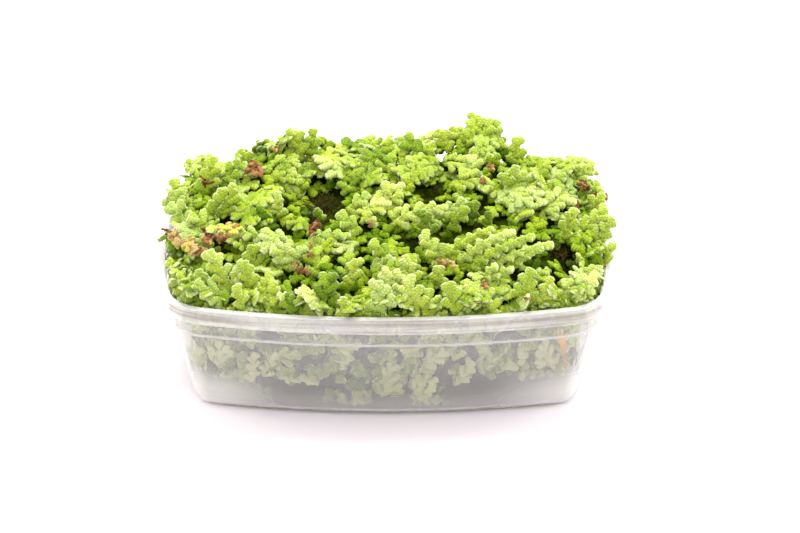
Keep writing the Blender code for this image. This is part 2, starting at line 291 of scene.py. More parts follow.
def clear_plastic(
    name, clearness, streaks_and_shade, darker_band, highlight_band, highlight_share, foot_glow=0.0, corner_glow=0.0
):
    """Clear plastic by its transmission, with a ripple, a streaky tint along it that darkens between the
    heights of the first band, painted shade on the rim's skirt, and a milky line between those of the
    second, a painted highlight. Its transmission falls by the foot glow at its foot, and by the corner
    glow as well at the foot's corners, which whitens them with painted light that shines through there."""
    finish = Finish(name)
    place = finish.place()
    axes = finish.node("SeparateXYZ", {"Vector": place}).outputs

    def between(axis, low, high, outside, inside):
        """One value between two places on an axis and another outside. The smooth step at each of
        them runs from 0.6 to 1.4 of half their distance, measured from their middle."""
        from_middle = finish.math("SUBTRACT", axes[axis], (low + high) / 2 * MM)
        near, far = (high - low) / 2 * 0.6 * MM, (high - low) / 2 * 1.4 * MM
        return finish.eased(finish.math("ABSOLUTE", from_middle), near, far, inside, outside)

    ripple = finish.noise(place, 70.0)
    finish.bump(ripple, 0.15, 0.0006)
    haze = finish.node("MapRange", {"Value": ripple, "To Min": 0.02, "To Max": 0.05})
    finish.wire("Roughness", haze.outputs["Result"])
    along = finish.node("Mapping", {"Vector": place, "Scale": (26.0, 26.0, 620.0)})
    streak_and_shade = finish.noise(along.outputs["Vector"], 1.0)
    # The darker band is painted shade on the rim's skirt.
    streak_and_shade = finish.math("ADD", streak_and_shade, between("Z", *darker_band, 0.10, -0.06))
    red, green, blue = CLEAR_TINT
    streak_and_shade_tint = (red - streaks_and_shade, green - 1.10 * streaks_and_shade, blue - 1.15 * streaks_and_shade)
    finish.wire("Base Color", finish.ramp(streak_and_shade, (0.36, streak_and_shade_tint), (0.62, CLEAR_TINT)))
    finish.fixed("IOR", 1.46)
    # Painted light: the plastic is whiter past the ends and sides at the foot's corners, and along the
    # foot.
    past_end = between("X", -GLOW_END, GLOW_END, 1.0, 0.0)
    past_side = between("Y", -GLOW_SIDE, GLOW_SIDE, 1.0, 0.0)
    low_corner = between("Z", -GLOW_CORNER, GLOW_CORNER, 0.0, corner_glow)
    low_foot = between("Z", -GLOW_FOOT, GLOW_FOOT, 0.0, foot_glow)
    painted_glow = finish.math("MULTIPLY_ADD", finish.math("MULTIPLY", past_end, past_side), low_corner, low_foot)
    # The milky band is a painted highlight: the ledge and the rim's top, lit by the surround.
    clear = between("Z", *highlight_band, clearness, highlight_share * clearness)
    finish.wire("Transmission Weight", finish.math("MULTIPLY", clear, finish.math("SUBTRACT", 1.0, painted_glow)))
    return finish.material


def capped_rings(rings, under, over):
    """Points and triangles of closed rings that are stacked upwards on the outside, with a fan from
    the point under them to the first ring and one from the point over them to the last."""
    points = np.vstack([rings.reshape(-1, 3), [under, over]])
    rows, columns = rings.shape[:2]
    here = np.arange(columns)
    beside = (here + 1) % columns
    last_row, count = (rows - 1) * columns, rows * columns
    fans = faces_of((count, beside, here), (count + 1, last_row + here, last_row + beside))
    return points, np.vstack([ring_triangles(rows, columns), fans])


def tub_ring(name, section, material, closed):
    """A section of (inset, height) points carried round the tub's outline, and either closed on
    itself or closed by two discs, one under the section's start and one over its end."""
    if closed:
        section = np.vstack([section, section[:1]])
    turns = np.arange(TUB_TURNS) / TUB_TURNS
    x, y = tub_plan(section[:, :1], turns[None, :])
    rings = vectors(x, y, section[:, 1:])
    if closed:
        last_row = (len(section) - 1) * TUB_TURNS
        triangles = ring_triangles(len(section), TUB_TURNS) % last_row
        return mesh_piece(name, rings.reshape(-1, 3)[:last_row], triangles, material)
    points, triangles = capped_rings(rings, (0.0, 0.0, section[0, 1]), (0.0, 0.0, section[-1, 1]))
    return mesh_piece(name, points, triangles, material)


ledge = TUB_TOP - LEDGE_DROP
ledge_low, ledge_high = ledge - 1.2, ledge + 0.4
inner_inset = UPPER_INSET + WALL
wall_top = UPPER_INSET + LEDGE_WIDTH
rim_foot = TUB_TOP - WALL
heel, heel_top = FOOT_INSET + 1.6, FOOT_HEIGHT + 1.0
wall_section = rounded_section(
    [
        (FLOOR_INSET, 0.0, 0.5),
        (heel, 0.4, 4.4),
        (FOOT_INSET, heel_top, 1.0),
        (wall_top, ledge_low, 0.5),
        (UPPER_INSET + 0.3, ledge, 0.6),
        (UPPER_INSET, rim_foot - RIM_JOINT, 0.05),
        (inner_inset, rim_foot - RIM_JOINT, 0.05),
        (inner_inset + 0.3, ledge_high, 0.6),
        (wall_top + WALL, ledge - 0.8, 0.5),
        (FOOT_INSET + WALL, heel_top, 1.0),
        (heel + WALL, WALL + 0.4, 4.0),
        (FLOOR_INSET, WALL, 0.5),
    ],
    CURVE_STEPS,
)
# The ledge's milky line is a painted highlight, and the whiter corners and foot are painted light.
wall_plastic = clear_plastic(
    "clear_plastic", clearness=0.866, streaks_and_shade=0.04, darker_band=(0.0, TUB_TOP),
    highlight_band=(ledge_low, ledge_high), highlight_share=0.70, foot_glow=0.11, corner_glow=0.52,
)
tub = tub_ring("tub_fine", wall_section, wall_plastic, False)
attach(tub, "root")
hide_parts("tub")

rim_section = rounded_section(
    [
        (WALL, rim_foot, 0.3),
        (WALL, TUB_TOP - SKIRT_HEIGHT, 0.2),
        (0.0, TUB_TOP - SKIRT_HEIGHT, 0.2),
        (0.0, TUB_TOP, 0.6),
        (inner_inset, TUB_TOP, 0.4),
        (inner_inset, rim_foot, 0.1),
    ],
    CURVE_STEPS,
)
# The rim's milky top is a painted highlight, and its skirt's darker band is painted shade.
rim_plastic = clear_plastic(
    "milky_rim", clearness=0.74, streaks_and_shade=0.34, darker_band=(TUB_TOP - 4.2, TUB_TOP - 1.6),
    highlight_band=(TUB_TOP - 0.6, TUB_TOP + 0.6), highlight_share=0.84,
)
rim = tub_ring("rim_fine", rim_section, rim_plastic, True)
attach(rim, "root")


# Packed lower plants. The older plants below the heap's top, tangled by their roots into one cushion that
# fills the tub: a lumpy core, dark with painted shade, that shows between the sprays and through the wall.

HEAP_EDGE = 3.2
FRONT_RISE = 0.5
CREST_RISE = 20.0
CREST_Y = 34.0
BACK_RISE = 7.0
END_DROP = 11.0
CORE_DEPTH = 6.0
SIDE_RINGS = 22
CORE_RINGS = 44
CORE_TURNS = 260

# Knolls and hollows: middle x, middle y, rise, radius.
MOUNDS = np.array([
    (36.0, 40.0, 8.5, 16.0), (12.0, 42.0, 3.0, 14.0), (-31.0, 41.0, 5.5, 14.0),
    (-70.0, 40.0, -3.0, 16.0), (72.0, 33.0, 1.0, 14.0), (60.0, 46.0, -6.0, 13.0),
    (-26.0, 8.0, -3.5, 9.0), (16.0, 6.0, -3.0, 8.0), (68.0, -24.0, -3.0, 9.0),
    (47.0, -39.0, -2.5, 8.0),
])


def heap_height(x, y):
    """The heap's surface: a quarter sine from the front edge to the crest, a square fall from it to
    the back edge, a drop at both ends that grows with the fifth power, and round mounds."""
    front, back = HEAP_EDGE - TUB_DEPTH / 2, TUB_DEPTH / 2 - HEAP_EDGE
    climb = np.sin(np.clip((y - front) / (CREST_Y - front), 0, 1) * math.pi / 2)
    fall = np.clip((y - CREST_Y) / (back - CREST_Y), 0, 1) ** 2
    rise = np.where(
        y < CREST_Y,
        FRONT_RISE + (CREST_RISE - FRONT_RISE) * climb,
        CREST_RISE - (CREST_RISE - BACK_RISE) * fall,
    )
    rise = rise - np.minimum(END_DROP, rise) * np.minimum(np.abs(x) * 2 / TUB_LENGTH, 1.0) ** 5
    for middle_x, middle_y, lift, radius in MOUNDS:
        rise = rise + lift * np.exp(-((x - middle_x) ** 2 + (y - middle_y) ** 2) / radius**2)
    return TUB_TOP + rise


def waves(x, y, size, seed):
    """Smooth lumps between about -1 and 1: a sum of five crossing waves of about this size."""
    draw = np.random.default_rng(seed)
    total = 0.0
    for _ in range(5):
        heading = draw.uniform(0, 2 * math.pi)
        length = size * draw.uniform(0.7, 1.5)
        phase = draw.uniform(0, 2 * math.pi)
        along = x * math.cos(heading) + y * math.sin(heading)
        total = total + np.sin(along * 2 * math.pi / length + phase)
    return total / 3.2


def wall_inset(height):
    """Inset of the tub's inner face at a height, by straight lines between the heights where it
    bends, from the curve at its foot to the rim."""
    heights = [WALL, 2.5, FOOT_HEIGHT, ledge_low, ledge_high, TUB_TOP]
    insets = [FLOOR_INSET, 12.6, FOOT_INSET + WALL, wall_top + WALL, inner_inset + 0.3, inner_inset]
    return np.interp(height, heights, insets)


def core_material():
    """Blotches of near-black, olive and dull green by a fine noise, which also roughens the surface.
    All are darker than the plants' greens: painted shade of the deep gaps where the core shows.
    """
    finish = Finish("packed_fern")
    blotch = finish.noise(finish.place(), 260.0, 6.0, 0.7)
    # Painted shade: the core's colours are darkened to stand for the shade deep between the sprays.
    black, olive, green = (0.007, 0.009, 0.001), (0.024, 0.036, 0.001), (0.072, 0.118, 0.004)
    finish.wire("Base Color", finish.ramp(blotch, (0.36, black), (0.52, olive), (0.66, green)))
    finish.bump(blotch, 0.8, 0.001)
    finish.fixed("Roughness", 0.85)
    finish.fixed("Specular IOR Level", 0.02)
    return finish.material


core_turn = np.arange(CORE_TURNS) / CORE_TURNS
core_floor = WALL + 0.2
side_heights = np.linspace(core_floor, TUB_TOP - 4.0, SIDE_RINGS)
side_low = 1 - side_heights / side_heights[-1]
side_insets = wall_inset(side_heights) + 7.0 + 9.0 * side_low**1.5
side_x, side_y = tub_plan(side_insets[:, None], core_turn[None, :])
side_x = side_x * (1 - 0.26 * side_low)[:, None]
side_lump = waves(side_x + side_y, side_heights[:, None] + 0.4 * side_x, 13.0, 3)
side_pull = 1.0 - 0.018 * (1 + side_lump)
side_rings = vectors(side_x * side_pull, side_y * side_pull, side_heights[:, None])
top_share = (1 - np.arange(1, CORE_RINGS) / CORE_RINGS)[:, None]
edge_x, edge_y = side_rings[-1:, :, 0], side_rings[-1:, :, 1]
top_x, top_y = edge_x * top_share, edge_y * top_share
top_z = heap_height(top_x, top_y) - CORE_DEPTH + 1.3 * waves(top_x, top_y, 9.0, 4)
top_z = top_z - (heap_height(edge_x, edge_y) - TUB_TOP) * top_share**8
core_rings = np.vstack([side_rings, vectors(top_x, top_y, top_z)])
core_top = heap_height(0.0, 0.0) - CORE_DEPTH
core_points, core_triangles = capped_rings(core_rings, (0.0, 0.0, core_floor), (0.0, 0.0, core_top))
core = mesh_piece("packed_core", core_points, core_triangles, core_material())
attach(core, "root")
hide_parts("fern_mat")


# Sprays. Each is one flat fan of a mosquito fern plant: a branching stem hidden under two rows of
# overlapping scale leaves, which make it a blade of round-tipped fingers with pale, rough edges.

# Longest finger, which is also the length of finger that one UV cell holds.
FINGER_MOST = 8.0
FINGER_HALF_WIDTH = 1.66
FINGER_THICKNESS = 0.98
FINGER_STEP = 2.3
SCALLOP = 0.11
STEM_FINGER = 5.5
BRANCH_TIP = 4.6
FORK_STEP = 2.0

# Columns and rows of UV cells, half the width of a finger in its cell, where in the cell its tip lies
# and its length, and the last green column. The columns after it are yellow, orange and brown.
SHADES = 16
TONES = 8
CELL_HALF = 0.46
CELL_TIP = 0.96
CELL_LENGTH = 0.92
LAST_GREEN = 11.0
LEAF_PITCH = 1.15
COOL_LEAF = (0.89, 0.98, 1.15, 1.0)
WARM_LEAF = (1.01, 0.96, 1.05, 1.0)
SPRAY_KINDS = 16
OVERHANG = 0.5
HIGHEST = cad_box[1][2] / MM + 1.2

# Strewn sprays: their rows' distance as a share of the spacing in a row, the way from a spray's place
# to its tip, and back from it to the foot.
ROW_STEP = 0.866
TIP_AHEAD = 7.0
FOOT_BEHIND = 5.5

# One finger from its foot to its tip, and from its left edge to its right one.
FINGER_ALONG = np.array([0.0, 0.20, 0.39, 0.56, 0.72, 0.86, 0.955, 1.0])
FINGER_WIDTHS = np.array([0.66, 0.75, 0.86, 0.96, 1.03, 0.98, 0.76, 0.42])
FINGER_ACROSS = np.array([-1.0, -0.62, 0.0, 0.62, 1.0])
FINGER_RELIEF = np.array([0.0, 0.70, 1.0, 0.70, 0.0])
ROWS, COLUMNS = len(FINGER_ALONG), len(FINGER_ACROSS)


def finger_faces():
    """Triangles of one finger: its top as a grid, a flat underside from edge to edge and both ends."""
    row, column = np.meshgrid(np.arange(ROWS - 1), np.arange(COLUMNS - 1), indexing="ij")
    here = row * COLUMNS + column
    above = here + COLUMNS
    left = np.arange(ROWS - 1) * COLUMNS
    right = left + COLUMNS - 1
    step = np.arange(1, COLUMNS - 1)
    last = (ROWS - 1) * COLUMNS
    return faces_of(
        (above + 1, above, here),
        (here + 1, above + 1, here),
        (right + COLUMNS, right, left),
        (left + COLUMNS, right + COLUMNS, left),
        (step + 1, step, 0),
        (last + step, last + step + 1, last),
    )


FINGER_FACES = finger_faces()


def repeated_faces(faces, points, count):
    """The faces of one shape carried over to a number of like ones with this many points each."""
    return (faces[None] + points * np.arange(count)[:, None, None]).reshape(-1, 3)


def grow_spray(draw, length, fullness):
    """Fingers of one spray that lies along +X, as rows of foot x, y, z, heading, length, bend, half
    width, lean and share of the spray's length. Fingers alternate along the main stem, longer near
    its foot, where they carry side fingers of their own."""
    bend = draw.uniform(-0.45, 0.45)
    rows = []

    def on_stem(along):
        """Place and heading this far along the stem, which bends evenly."""
        angle = 0.5 * bend * along / length
        return along * math.cos(angle), along * math.sin(angle), bend * along / length

    def add(x, y, z, heading, reach, turn, lean, share):
        """Adds a finger, narrower where it is short."""
        reach = min(reach, FINGER_MOST)
        width = FINGER_HALF_WIDTH * draw.uniform(0.9, 1.08) * min(1.0, 0.62 + 0.08 * reach)
        rows.append((x, y, z, heading, reach, turn, width, lean, share))

    pieces = max(math.ceil(length / 4.5), 2)
    for number in range(pieces):
        along = number * (length - STEM_FINGER) / (pieces - 1)
        x, y, heading = on_stem(max(along, 0.0))
        turn = bend * STEM_FINGER / length
        add(x, y, -0.35 + 0.05 * number, heading, STEM_FINGER, turn, 0.02, along / length)
    side = draw.choice([-1, 1])
    along = 0.8
    while along < length - 2.6:
        share = along / length
        x, y, heading = on_stem(along)
        reach = min(length, 16.0) * (0.50 - 0.22 * share) + 0.8
        reach = reach * draw.uniform(0.85, 1.15) * fullness
        heading = heading + side * math.radians(draw.uniform(50, 64) - 20 * share)
        turn = -side * math.radians(draw.uniform(4, 26))
        lean = draw.uniform(-0.26, 0.24)
        height = draw.uniform(-0.15, 0.25)
        if reach < 6.2:
            add(x, y, height, heading, reach, turn, lean, share + 0.2)
        else:
            end = reach - BRANCH_TIP
            if end > 3.0:
                add(x, y, height, heading, 5.0, 0.5 * turn, lean, share)
            chord = heading + 0.25 * turn
            tip_x, tip_y = x + end * math.cos(chord), y + end * math.sin(chord)
            tip_height = height + 0.15 + lean * end
            tip_heading = heading + 0.5 * turn
            add(tip_x, tip_y, tip_height, tip_heading, BRANCH_TIP, 0.5 * turn, lean, share + 0.3)
            fork_side = draw.choice([-1, 1])
            fork = FORK_STEP
            while fork < reach - 2.4:
                fork_x, fork_y = x + fork * math.cos(chord), y + fork * math.sin(chord)
                fork_turn = fork_side * math.radians(draw.uniform(44, 58))
                fork_heading = heading + turn * fork / reach + fork_turn
                fork_reach = draw.uniform(3.2, 4.4) * (1.1 - 0.3 * fork / reach)
                fork_lean = draw.uniform(-0.3, 0.3)
                fork_height = height + lean * fork
                add(fork_x, fork_y, fork_height, fork_heading, fork_reach, 0.0, fork_lean, share + 0.2)
                fork_side = -fork_side
                fork += FORK_STEP
        side = -side
        along += FINGER_STEP * draw.uniform(0.88, 1.1)
    return np.array(rows)


spray_draw = np.random.default_rng(11)
spray_kinds = [grow_spray(spray_draw, length, 1.0) for length in np.linspace(9.5, 18.0, SPRAY_KINDS)]
small_kinds = [grow_spray(spray_draw, length, 0.85) for length in np.linspace(7.0, 11.0, SPRAY_KINDS)]


def unit(values):
    """Vectors divided by their own lengths."""
    return values / np.maximum(np.linalg.norm(values, axis=-1, keepdims=True), 1e-9)


def plan_inset(x, y):
    """Distance inwards from the rim's outer edge: the least of the distances to the two bowed sides,
    or the distance to the corner's arc where the point lies beyond the corner's middle."""
    x, y = np.abs(x), np.abs(y)
    short_x, long_y, corner_x, corner_y, corner, short_end, long_start = outline_arcs(0.0)
    to_long = LONG_SIDE_BOW - np.hypot(x, y - long_y)
    to_short = SHORT_SIDE_BOW - np.hypot(x - short_x, y)
    to_corner = corner - np.hypot(x - corner_x, y - corner_y)
    angle = np.arctan2(y - corner_y, x - corner_x)
    beside_corner = (angle > short_end) & (angle < long_start)
    return np.where(beside_corner, to_corner, np.minimum(to_long, to_short))


def crossing(points):
    """How far points lie beyond the tub's inner face or, above the rim, beyond an inset of 3 mm that
    shrinks by 0.8 of the height above the rim, down to 3 mm outside the rim's edge."""
    above = points[..., 2] - TUB_TOP
    limit = np.where(above > 0.8, np.maximum(3.0 - 0.8 * above, -3.0), wall_inset(points[..., 2]) + 0.5)
    return limit - plan_inset(points[..., 0], points[..., 1])


def held_in(points):
    """Points that would cross the tub's wall are drawn towards its middle until they lie inside it,
    and those that would cross its floor or pass the ends of its rim are stopped there."""
    for _ in range(3):
        short = np.maximum(crossing(points), 0.0)
        outward = unit(points[..., :2] * np.array([TUB_DEPTH / TUB_LENGTH, 1.0]))
        plan = points[..., :2] - outward * short[..., None]
        points = np.concatenate([plan, points[..., 2:]], axis=-1)
    ends = np.array([TUB_LENGTH / 2, TUB_DEPTH / 2]) + OVERHANG
    plan = np.clip(points[..., :2], -ends, ends)
    return np.concatenate([plan, np.maximum(points[..., 2:], WALL + 0.4)], axis=-1)


# Outline of the heap against the white surround, as pixels of the photograph from left to right.
SKYLINE = np.array([
    (150, 300), (163, 184), (172, 170), (190, 160), (210, 151), (224, 150), (234, 158), (244, 139),
    (280, 138), (292, 124), (306, 123), (318, 134), (334, 141), (360, 136), (380, 140), (410, 133),
    (430, 130), (440, 124), (470, 116), (486, 110), (497, 115), (508, 136), (522, 134), (534, 151),
    (556, 162), (570, 159), (594, 158), (604, 188), (617, 214), (625, 300),
])
SKY_U, SKY_V = SKYLINE.T
FOCAL_PIXELS = PIXELS_PER_MM * CAMERA_DISTANCE


def pixel_of(points):
    """Where the camera sees these points, in pixels of the photograph: their way to the right and up
    from the eye's line, divided by their depth."""
    from_eye = points - eye
    depth = -from_eye @ view_back
    u = RIM_PIXEL[0] + FOCAL_PIXELS * from_eye[..., 0] / depth
    v = RIM_PIXEL[1] - FOCAL_PIXELS * (from_eye @ view_up) / depth
    return u, v


def place_sprays(kinds, foot, forward, normal, scale, arch, shade, seed, kind=None, most_shift=9.0):
    """Fingers of many sprays in the frame: their points, as fingers by rows by columns, and the length,
    shade and tone of each. A spray's blade is a plane through its foot that arches along its length
    and droops to its sides as the square of the distance; fingers are domed, with scalloped edges. A
    spray that crosses the tub is drawn back by how far it does, up to the most shift, and one that
    stands above the skyline or the solids' box is sunk by as much."""
    draw = np.random.default_rng(seed)
    if kind is None:
        kind = draw.integers(0, len(kinds), len(foot))
    rows = np.concatenate([kinds[k] for k in kind])
    owner = np.repeat(np.arange(len(foot)), [len(kinds[k]) for k in kind])

    def by_finger(values):
        """The sprays' values, given to each finger for all of its points."""
        return values[owner][:, None, None]

    def most_of(values):
        """The greatest value at the points of each spray, and zero where all are below it."""
        most = np.zeros(len(foot))
        np.maximum.at(most, owner, values.max(axis=(1, 2)))
        return most

    forward = unit(forward)
    normal = unit(normal - forward * np.sum(normal * forward, axis=1, keepdims=True))
    sideways = np.cross(normal, forward)
    start_x, start_y, start_z, heading, length, bend, width, lean, share = (
        rows[:, column, None, None] for column in range(9)
    )
    along = FINGER_ALONG[None, :, None]
    across = FINGER_ACROSS[None, None, :]
    beat = np.where(np.arange(ROWS) % 2 == 0, 1.0, -1.0)[None, :, None]
    edge = 1 + SCALLOP * beat * np.sign(across)
    lateral = across * width * FINGER_WIDTHS[None, :, None] * edge
    turn = heading + bend * along
    chord = heading + 0.5 * bend * along
    x = start_x + length * along * np.cos(chord) - np.sin(turn) * lateral
    y = start_y + length * along * np.sin(chord) + np.cos(turn) * lateral
    quilting = 0.10 * beat * np.sign(across) * (np.abs(across) < 0.9)
    relief = FINGER_RELIEF[None, None, :] * (1 - 0.5 * along**4) + quilting
    rise = start_z + lean * length * along + FINGER_THICKNESS * relief - 0.10 * (across * width) ** 2
    arched = by_finger(arch)
    droop = by_finger(0.016 + 0.010 * draw.standard_normal(len(foot)))
    z = rise + arched * x - 1.25 * arched * x**2 / 15.0 - droop * y**2
    f, s, n = (by_finger(axis) for axis in (forward, sideways, normal))
    in_frame = f * x[..., None] + s * y[..., None] + n * z[..., None]
    points = by_finger(foot) + by_finger(scale)[..., None] * in_frame
    furthest = most_of(crossing(points))
    furthest = np.minimum(furthest + 2.0 * draw.uniform(0, 1, len(foot)) * (furthest > 0), most_shift)
    outward = unit(foot * np.array([TUB_DEPTH / TUB_LENGTH, 1.0, 0.0]))
    points = points - by_finger(outward * furthest[:, None])
    u, v = pixel_of(points)
    highest = most_of(np.interp(u, SKY_U, SKY_V) - v)
    highest = np.maximum(highest - draw.uniform(-2.0, 5.0, len(foot)), 0.0)
    sink = np.minimum(highest / (PIXELS_PER_MM * math.cos(CAMERA_ELEVATION)), 9.0)
    sink = np.maximum(sink, most_of(points[..., 2]) - HIGHEST)
    points[..., 2] -= by_finger(sink)
    column = shade[owner] + 0.45 * draw.standard_normal(len(rows)) + 1.6 * (rows[:, 8] - 0.5)
    column = np.where(shade[owner] < LAST_GREEN + 0.5, np.minimum(column, LAST_GREEN), column)
    column = np.clip(np.rint(column), 0, SHADES - 1)
    tone = TONES / 2 - 0.5 + 1.7 * draw.standard_normal(len(foot))[owner]
    tone = tone + 0.9 * draw.standard_normal(len(rows))
    tone = np.clip(np.rint(tone), 0, TONES - 1)
    return held_in(points), rows[:, 4], column, tone


def finger_piece(name, groups, material):
    """One mesh of closed fingers. A finger's UV is its cell of shade and tone: across the cell from
    edge to edge of the finger, and up the cell to its tip, at one scale for every length."""
    points, length, column, tone = (np.concatenate(group) for group in zip(*groups))
    triangles = repeated_faces(FINGER_FACES, ROWS * COLUMNS, len(points))
    across = np.broadcast_to(FINGER_ACROSS[None, None, :], points.shape[:3])
    from_tip = (1 - FINGER_ALONG)[None, :, None] * length[:, None, None] / FINGER_MOST
    u = (column[:, None, None] + 0.5 + CELL_HALF * across) / SHADES
    v = (tone[:, None, None] + CELL_TIP - CELL_LENGTH * from_tip) / TONES
    uv = np.stack(np.broadcast_arrays(u, v), axis=-1).reshape(len(points), -1, 2)[:, FINGER_FACES]
    return mesh_piece(name, points.reshape(-1, 3), triangles, material, uv.reshape(-1, 2))


def leaf_material(name, frosting, paleness, pale_colour):
    """Scale leaves on a finger, by its UV cell: the shade along a ramp and the tone by the cell, two
    alternating rows of round-tipped leaves, each darker at its root with painted shade under the leaf
    that overlaps it, and a pale rough edge."""
    finish = Finish(name)
    math_node, eased = finish.math, finish.eased
    cells = finish.node("UVMap", {}, uv_map="OFBake").outputs["UV"]
    split = finish.node("SeparateXYZ", {"Vector": cells}).outputs
    u = math_node("MULTIPLY", split["X"], SHADES)
    v = math_node("MULTIPLY", split["Y"], TONES)
    shade = math_node("DIVIDE", math_node("ADD", math_node("FLOOR", u), 0.5), SHADES)
    tone = math_node("DIVIDE", math_node("FLOOR", v), TONES - 1)
    across = math_node("DIVIDE", math_node("SUBTRACT", math_node("FRACT", u), 0.5), CELL_HALF)
    out = math_node("ABSOLUTE", across)
    from_tip = math_node("SUBTRACT", CELL_TIP, math_node("FRACT", v))
    from_tip = math_node("MULTIPLY", from_tip, FINGER_MOST / CELL_LENGTH)
    grain = finish.noise(cells, 330.0, 3.0)
    rough = math_node("MULTIPLY", math_node("SUBTRACT", grain, 0.5), 0.5)

    side = math_node("MULTIPLY", math_node("GREATER_THAN", across, 0.0), 0.5)
    aside = math_node("MULTIPLY", math_node("SUBTRACT", out, 0.5), 2.0)
    curve = math_node("MULTIPLY", math_node("MULTIPLY", aside, aside), -0.42)
    phase = math_node("ADD", math_node("ADD", math_node("DIVIDE", from_tip, LEAF_PITCH), side), curve)
    leaf = math_node("FRACT", math_node("ADD", phase, math_node("MULTIPLY", rough, 0.3)))

    colour = finish.ramp(
        shade,
        (0.03, (0.040, 0.080, 0.003)),
        (0.16, (0.098, 0.196, 0.005)),
        (0.30, (0.232, 0.366, 0.009)),
        (0.45, (0.385, 0.515, 0.022)),
        (0.58, (0.480, 0.615, 0.075)),
        (0.70, (0.570, 0.700, 0.175)),
        (0.78, (0.62, 0.60, 0.07)),
        (0.86, (0.66, 0.41, 0.17)),
        (0.93, (0.29, 0.095, 0.020)),
        (1.0, (0.10, 0.032, 0.012)),
    )
    brightness = eased(tone, 0.0, 1.0, 0.85, 1.04)
    # Painted shade: each leaf darkens towards its root, under the next leaf that overlaps it.
    root = eased(leaf, 0.40, 0.95, 1.0, 0.69)
    rib = eased(out, 0.0, 0.22, 0.90, 1.0)
    level = math_node("MULTIPLY", math_node("MULTIPLY", brightness, root), rib)
    toned = finish.node("VectorMath", {"Vector": colour, "Scale": level}, operation="SCALE")
    hue = finish.node("Mix", {"Factor": tone, "A": COOL_LEAF, "B": WARM_LEAF}, data_type="RGBA")
    tints = {0: toned.outputs["Vector"], 1: hue.outputs["Result"]}
    hued = finish.node("VectorMath", tints, operation="MULTIPLY")

    edge = eased(math_node("ADD", out, rough), 0.68, 1.04, 0.0, 0.58)
    crown = eased(math_node("ADD", from_tip, math_node("MULTIPLY", rough, 1.5)), 0.0, 0.65, 0.42, 0.0)
    leaf_rim = eased(math_node("ADD", leaf, rough), 0.0, 0.34, 0.18, 0.0)
    frost = eased(grain, 0.55, 0.70, 0.0, 0.08)
    rim = math_node("MAXIMUM", math_node("MAXIMUM", edge, crown), math_node("MAXIMUM", leaf_rim, frost))
    # Pale edges are strong on the lighter greens and weak on the darker ones: painted highlight and
    # painted shade over the leaves' own pale margins.
    rim = math_node("MULTIPLY", rim, eased(shade, 0.0, 0.55, 0.25 * frosting, frosting))
    rim = math_node("MULTIPLY", rim, eased(shade, 0.74, 0.80, 1.0, 0.18))
    rim = math_node("MAXIMUM", rim, paleness)
    edges = {"Factor": rim, "A": hued.outputs["Vector"], "B": (*pale_colour, 1.0)}
    finish.wire("Base Color", finish.node("Mix", edges, data_type="RGBA").outputs["Result"])

    dome = math_node("ADD", eased(leaf, 0.0, 0.9, 1.0, 0.0), math_node("MULTIPLY", rough, 1.2))
    finish.bump(dome, 0.6, 0.0004)
    finish.fixed("Roughness", 0.6)
    finish.fixed("Specular IOR Level", 0.02)
    return finish.material


def heap_normal(x, y):
    """Upward normal of the heap's surface, from its height half a millimetre to each side."""
    slope_x = heap_height(x + 0.5, y) - heap_height(x - 0.5, y)
    slope_y = heap_height(x, y + 0.5) - heap_height(x, y - 0.5)
    return unit(vectors(-slope_x, -slope_y, 1.0))


def scattered(spacing, least_inset, seed):
    """Plan points on a grid whose rows stand half a spacing aside from each other, moved by up to a
    third of the spacing, inside the rim."""
    draw = np.random.default_rng(seed)
    most = 0.33 * spacing
    rows = int(TUB_DEPTH / (spacing * ROW_STEP)) + 2
    columns = int(TUB_LENGTH / spacing) + 2
    row, column = np.meshgrid(np.arange(rows) - rows / 2, np.arange(columns) - columns / 2, indexing="ij")
    x = (column + 0.5 * (np.arange(rows)[:, None] % 2)) * spacing
    y = row * spacing * ROW_STEP
    x = (x + most * draw.uniform(-1, 1, x.shape)).ravel()
    y = (y + most * draw.uniform(-1, 1, y.shape)).ravel()
    keep = plan_inset(x, y) > least_inset
    return x[keep], y[keep]


def on_rays(u, v, reached):
    """The first point on the camera's ray through each pixel for which reached is true, by steps of
    less than half a millimetre along the rays."""
    rays = -view_back + np.outer((u - RIM_PIXEL[0]) / FOCAL_PIXELS, view_right)
    rays = rays - np.outer((v - RIM_PIXEL[1]) / FOCAL_PIXELS, view_up)
    reach = np.linspace(CAMERA_DISTANCE - 90, CAMERA_DISTANCE + 90, 500)
    along = eye + rays[:, None] * reach[None, :, None]
    found = reached(along)
    found[:, -1] = True
    return along[np.arange(len(along)), found.argmax(axis=1)]


def on_heap(u, v, depth=0.0):
    """The point this deep under the heap's surface on the camera's ray through each pixel."""

    def under_surface(points):
        """Whether points lie at least this deep under the surface."""
        return points[..., 2] <= heap_height(points[..., 0], points[..., 1]) - depth

    return on_rays(u, v, under_surface)


# Hollows between plants, where their dark roots show: pixel of the middle, radius in millimetres.
HOLLOWS_SEEN = np.array([
    (321, 209, 9.5), (563, 256, 5.0), (398, 235, 2.5), (511, 272, 3.5), (264, 289, 2.5),
    (489, 178, 2.5), (437, 187, 2.0), (458, 242, 2.0), (233, 221, 2.0), (300, 280, 2.0),
    (346, 281, 2.0), (432, 247, 2.0), (308, 300, 3.0),
])
hollow_place = on_heap(HOLLOWS_SEEN[:, 0], HOLLOWS_SEEN[:, 1], CORE_DEPTH / 2)
OPENINGS = np.column_stack([hollow_place[:, :2], HOLLOWS_SEEN[:, 2]])

